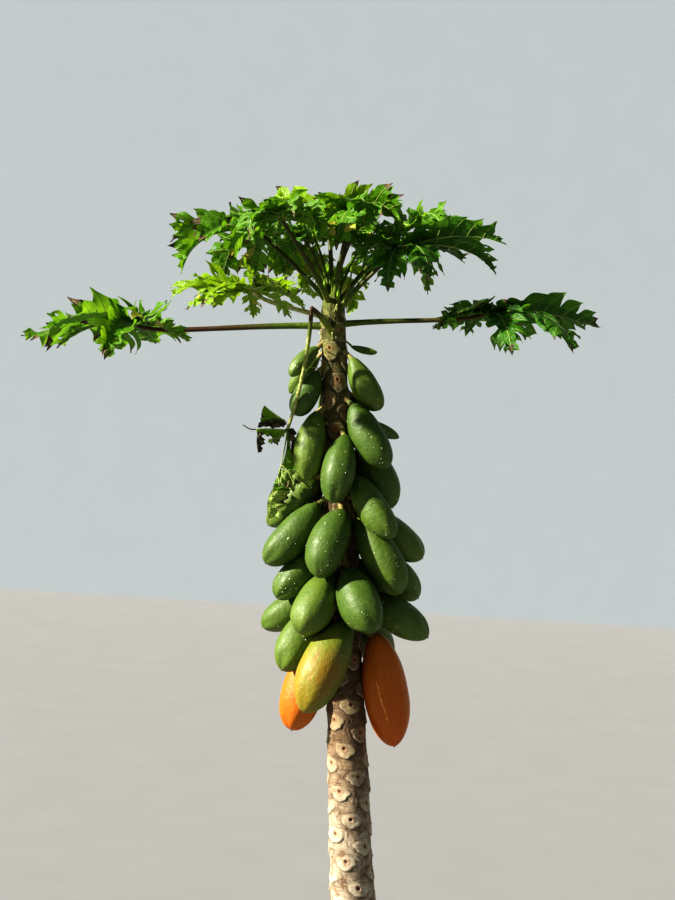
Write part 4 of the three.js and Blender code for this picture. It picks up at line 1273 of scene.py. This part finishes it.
def make_hanging_stalk(bend, joint):
    """The part of the stalk that hangs from the bend down to the blade."""
    middle = (bend + joint) / 2 + np.array([BROKEN.bow, 0, 0])
    shares = steps(BROKEN_MESH.rings)
    radii = between(shares, BROKEN.bend_radius, BROKEN.tip_radius)
    radii = radii * (1 - BROKEN_MESH.pinch * bell(shares, 0.02, 0.03))
    hanging = Piece("broken_leaf_stalk")
    ages = between(smooth(0, 0.3, shares), *BROKEN_MESH.ages)
    hanging.limb([bend, middle, joint], radii, BROKEN_MESH.sides, age=ages)
    add_hub(hanging, joint, BROKEN_MESH.hub, BROKEN_MESH.hub_age)
    hanging.make(["stalk"], ["broken_leaf_blade"], "leaf_withered")


def make_broken_leaf():
    """The stub that still stands, the stalk that hangs from its bend, and the shrivelled blade."""
    bend, joint = np.array(BROKEN.bend, float), np.array(BROKEN.joint, float)
    make_broken_stub(bend)
    make_hanging_stalk(bend, joint)
    blade = Piece("broken_leaf_lobes")
    for i, row in enumerate(RAG_ROWS):
        upper, lower = from_joint(joint, row[:3]), from_joint(joint, row[3:6])
        add_rag(blade, upper, lower, named(RAG_KEYS, row[6:]), SEEDS.rags + 3 * i)
    for places, radii, slot in BARE_RIBS:
        radii = np.linspace(*radii, BROKEN_MESH.rib_rings)
        blade.limb(from_joint(joint, places), radii, BROKEN_MESH.rib_sides, slot)
    blade.make(["withered", *BLADE_EXTRAS], ["broken_leaf_blade"], "leaf_withered")


# Buds, young stalks and stubs on the trunk

# Pairs are limits of random draws. Radii and swellings from end to end are shares of a piece's own size.
BUDS = Sizes(
    count=16, low=2090, high=2270, depth=3, reach=(10, 34), aside=(-40, 40), rise=(5, 60), arch=3, stalk=1.5,
    size=(3.2, 6.5), slim=0.55, length=(-0.2, 1.7), swelling=(0.35, 0.85, 1.0, 0.9, 0.62, 0.25),
)
STUBS = Sizes(
    count=26, low=1180, high=2120, depth=4, reach=(5, 12), rise=(-10, 35), radius=(4.5, 7),
    swelling=(1.25, 1.0, 0.9, 0.95, 0.8),
)
# Young stalks that crowd round the growing tip, each with its leaf still folded.
HEART = Sizes(
    count=9, low=2268, high=2312, turn=137.5, first_turn=20, out=(0.8, 0.1), sink=8, rise=(52, 84),
    end_rise=88, length=(45, 120), radius=(6.5, 2.2), ages=(0.16, 0.36), folded_length=(-0.1, 1.4),
    folded=(26, 5.5),
    swelling=(0.4, 0.75, 1.0, 0.98, 0.9, 0.72, 0.5, 0.3, 0.08),
)


def add_swelling(piece, end, way, length, limits, radius, shape, slot=0):
    """A bud or folded leaf that lies along its stalk's end, with its radii by shape."""
    points = end + way * (np.linspace(*limits, len(shape)) * length)[:, None]
    piece.tube(points, np.tile(way, (len(shape), 1)), radius * np.array(shape), 9, slot)


def make_buds(random):
    """Small flower buds on short stalks under the youngest leaves."""
    buds = Piece("flower_buds")
    for i in range(BUDS.count):
        z = between((i + next(random)) / BUDS.count, BUDS.low, BUDS.high)
        heading = 360 * next(random)
        foot = on_trunk(z, heading, trunk_radius(z) - BUDS.depth)
        reach = pick(random, BUDS.reach)
        way = rising(heading + pick(random, BUDS.aside), pick(random, BUDS.rise))
        end = foot + way * reach
        buds.limb([foot, (foot + end) / 2 + UP * BUDS.arch, end], np.full(6, BUDS.stalk), 7)
        size = pick(random, BUDS.size)
        add_swelling(buds, end, way, size, BUDS.length, size * BUDS.slim, BUDS.swelling)
    buds.make(["bud"], [], "leaf_green")


def make_heart():
    heart = Piece("young_stalks")
    random = draws(SEEDS.heart)
    shares = steps(14)
    for i in range(HEART.count):
        share = i / (HEART.count - 1)
        z = between(share, HEART.low, HEART.high)
        heading = HEART.turn * i + HEART.first_turn
        out = level(heading) * trunk_radius(z) * between(share, *HEART.out)
        foot = trunk_middle(z - HEART.sink) + out
        length = pick(random, HEART.length)
        way = rising(heading, pick(random, HEART.rise))
        middle = foot + way * length * 0.5
        end = foot + (way * 0.5 + rising(heading, HEART.end_rise) * 0.5) * length
        radii = between(shares**0.7, *HEART.radius)
        tip_way = heart.limb([foot, middle, end], radii, 10, age=between(shares, *HEART.ages))
        tall, wide = HEART.folded
        add_swelling(heart, end, tip_way, tall, HEART.folded_length, wide, HEART.swelling, 1)
    # The folded leaves take the lime blade, whose bright yellow green is painted light.
    heart.make(["stalk", "lime"], [], "leaf_green")


def make_stubs(random):
    """Stubs of old fruit stalks."""
    stubs = Piece("fruit_stalk_stubs")
    for i in range(STUBS.count):
        z = between((i + next(random)) / STUBS.count, STUBS.low, STUBS.high)
        heading = 360 * next(random)
        foot = on_trunk(z, heading, trunk_radius(z) - STUBS.depth)
        way = rising(heading, pick(random, STUBS.rise))
        end = foot + way * (pick(random, STUBS.reach) + STUBS.depth)
        radii = pick(random, STUBS.radius) * np.array(STUBS.swelling)
        stubs.limb([foot, (foot + end) / 2, end], radii, 10)
    stubs.make(["neck"], [], "bark")


def make_trunk_growths():
    random = draws(SEEDS.buds)
    make_buds(random)
    make_heart()
    make_stubs(random)


# Scene

# Camera of the photograph: its place, how far it looks down, how far it is rolled, and its lens.
CAMERA = Sizes(place=(-172, -5250, 1979), pitch=-1.37, roll=3.39, lens=70, sensor=36, far=200)
# The sun comes from from_way, and the sky round the plant is pale blue. The sun's angle is its width.
SUN = Sizes(from_way=(-0.82, -0.27, 0.5), energy=9.0, angle=2, colour=(1.0, 0.945, 0.84))
SKY = Sizes(colour=(0.76, 0.9, 1.0), strength=0.23)
# The studio in metres: half the floor's width, and how far back and how tall the backdrop is.
STUDIO = Sizes(half=40.0, back=12.0, tall=16.0)


def turned(right, upward, back):
    """A turn that gives an object's own X, Y and Z these directions."""
    return Matrix(np.column_stack([right, upward, back]).tolist()).to_4x4()


def make_camera():
    pitch, roll = math.radians(CAMERA.pitch), math.radians(CAMERA.roll)
    ahead = np.array([0, math.cos(pitch), math.sin(pitch)])
    right = np.array([1.0, 0, 0])
    upward = np.cross(right, ahead)
    data = bpy.data.cameras.new("camera")
    data.lens = CAMERA.lens
    data.sensor_width = CAMERA.sensor
    data.clip_end = CAMERA.far
    camera = bpy.data.objects.new("camera", data)
    place = Matrix.Translation([c * MM for c in CAMERA.place])
    camera.matrix_world = place @ turned(swing(right, upward, roll), swing(upward, -right, roll), -ahead)
    bpy.context.scene.collection.objects.link(camera)
    bpy.context.scene.camera = camera


def make_light():
    """The sun from the left and a little in front, and a pale blue sky all round."""
    data = bpy.data.lights.new("key", "SUN")
    data.energy = SUN.energy
    data.angle = math.radians(SUN.angle)
    data.color = SUN.colour
    key = bpy.data.objects.new("key", data)
    toward = -unit(np.array(SUN.from_way))
    side = unit(np.cross(toward, UP))
    key.matrix_world = turned(side, np.cross(side, toward), -toward)
    bpy.context.scene.collection.objects.link(key)
    world = bpy.data.worlds.new("surrounding")
    world.use_nodes = True
    back = world.node_tree.nodes["Background"]
    back.inputs["Color"].default_value = (*SKY.colour, 1)
    back.inputs["Strength"].default_value = SKY.strength
    bpy.context.scene.world = world


def make_stage(name, corners, dark, light):
    """A plain sheet of the studio, in two colours that differ a little."""
    mesh = bpy.data.meshes.new(name)
    mesh.from_pydata(corners, [], [(0, 1, 2, 3)])
    sheet = bpy.data.objects.new(name, mesh)
    s = Shader(name, 0.9)
    s.colour(s.mix(s.noise(3), dark, light))
    mesh.materials.append(s.material)
    bpy.context.scene.collection.objects.link(sheet)


def make_studio():
    """The floor, and a backdrop far behind the plant."""
    half, back, tall = STUDIO.half, STUDIO.back, STUDIO.tall
    floor = [(-half, -half, 0), (half, -half, 0), (half, half, 0), (-half, half, 0)]
    wall = [(-half, back, 0), (half, back, 0), (half, back, tall), (-half, back, tall)]
    make_stage("floor", floor, (0.225, 0.225, 0.225), (0.25, 0.25, 0.25))
    make_stage("backdrop", wall, (0.37, 0.41, 0.45), (0.39, 0.43, 0.47))


bpy.context.scene.view_settings.view_transform = "Standard"
bpy.context.scene.view_settings.look = "High Contrast"
make_camera()
make_light()
make_studio()
make_trunk()
for fruit_number in range(1, FRUIT.count + 1):
    make_fruit(fruit_number)
make_leaves()
make_broken_leaf()
make_trunk_growths()
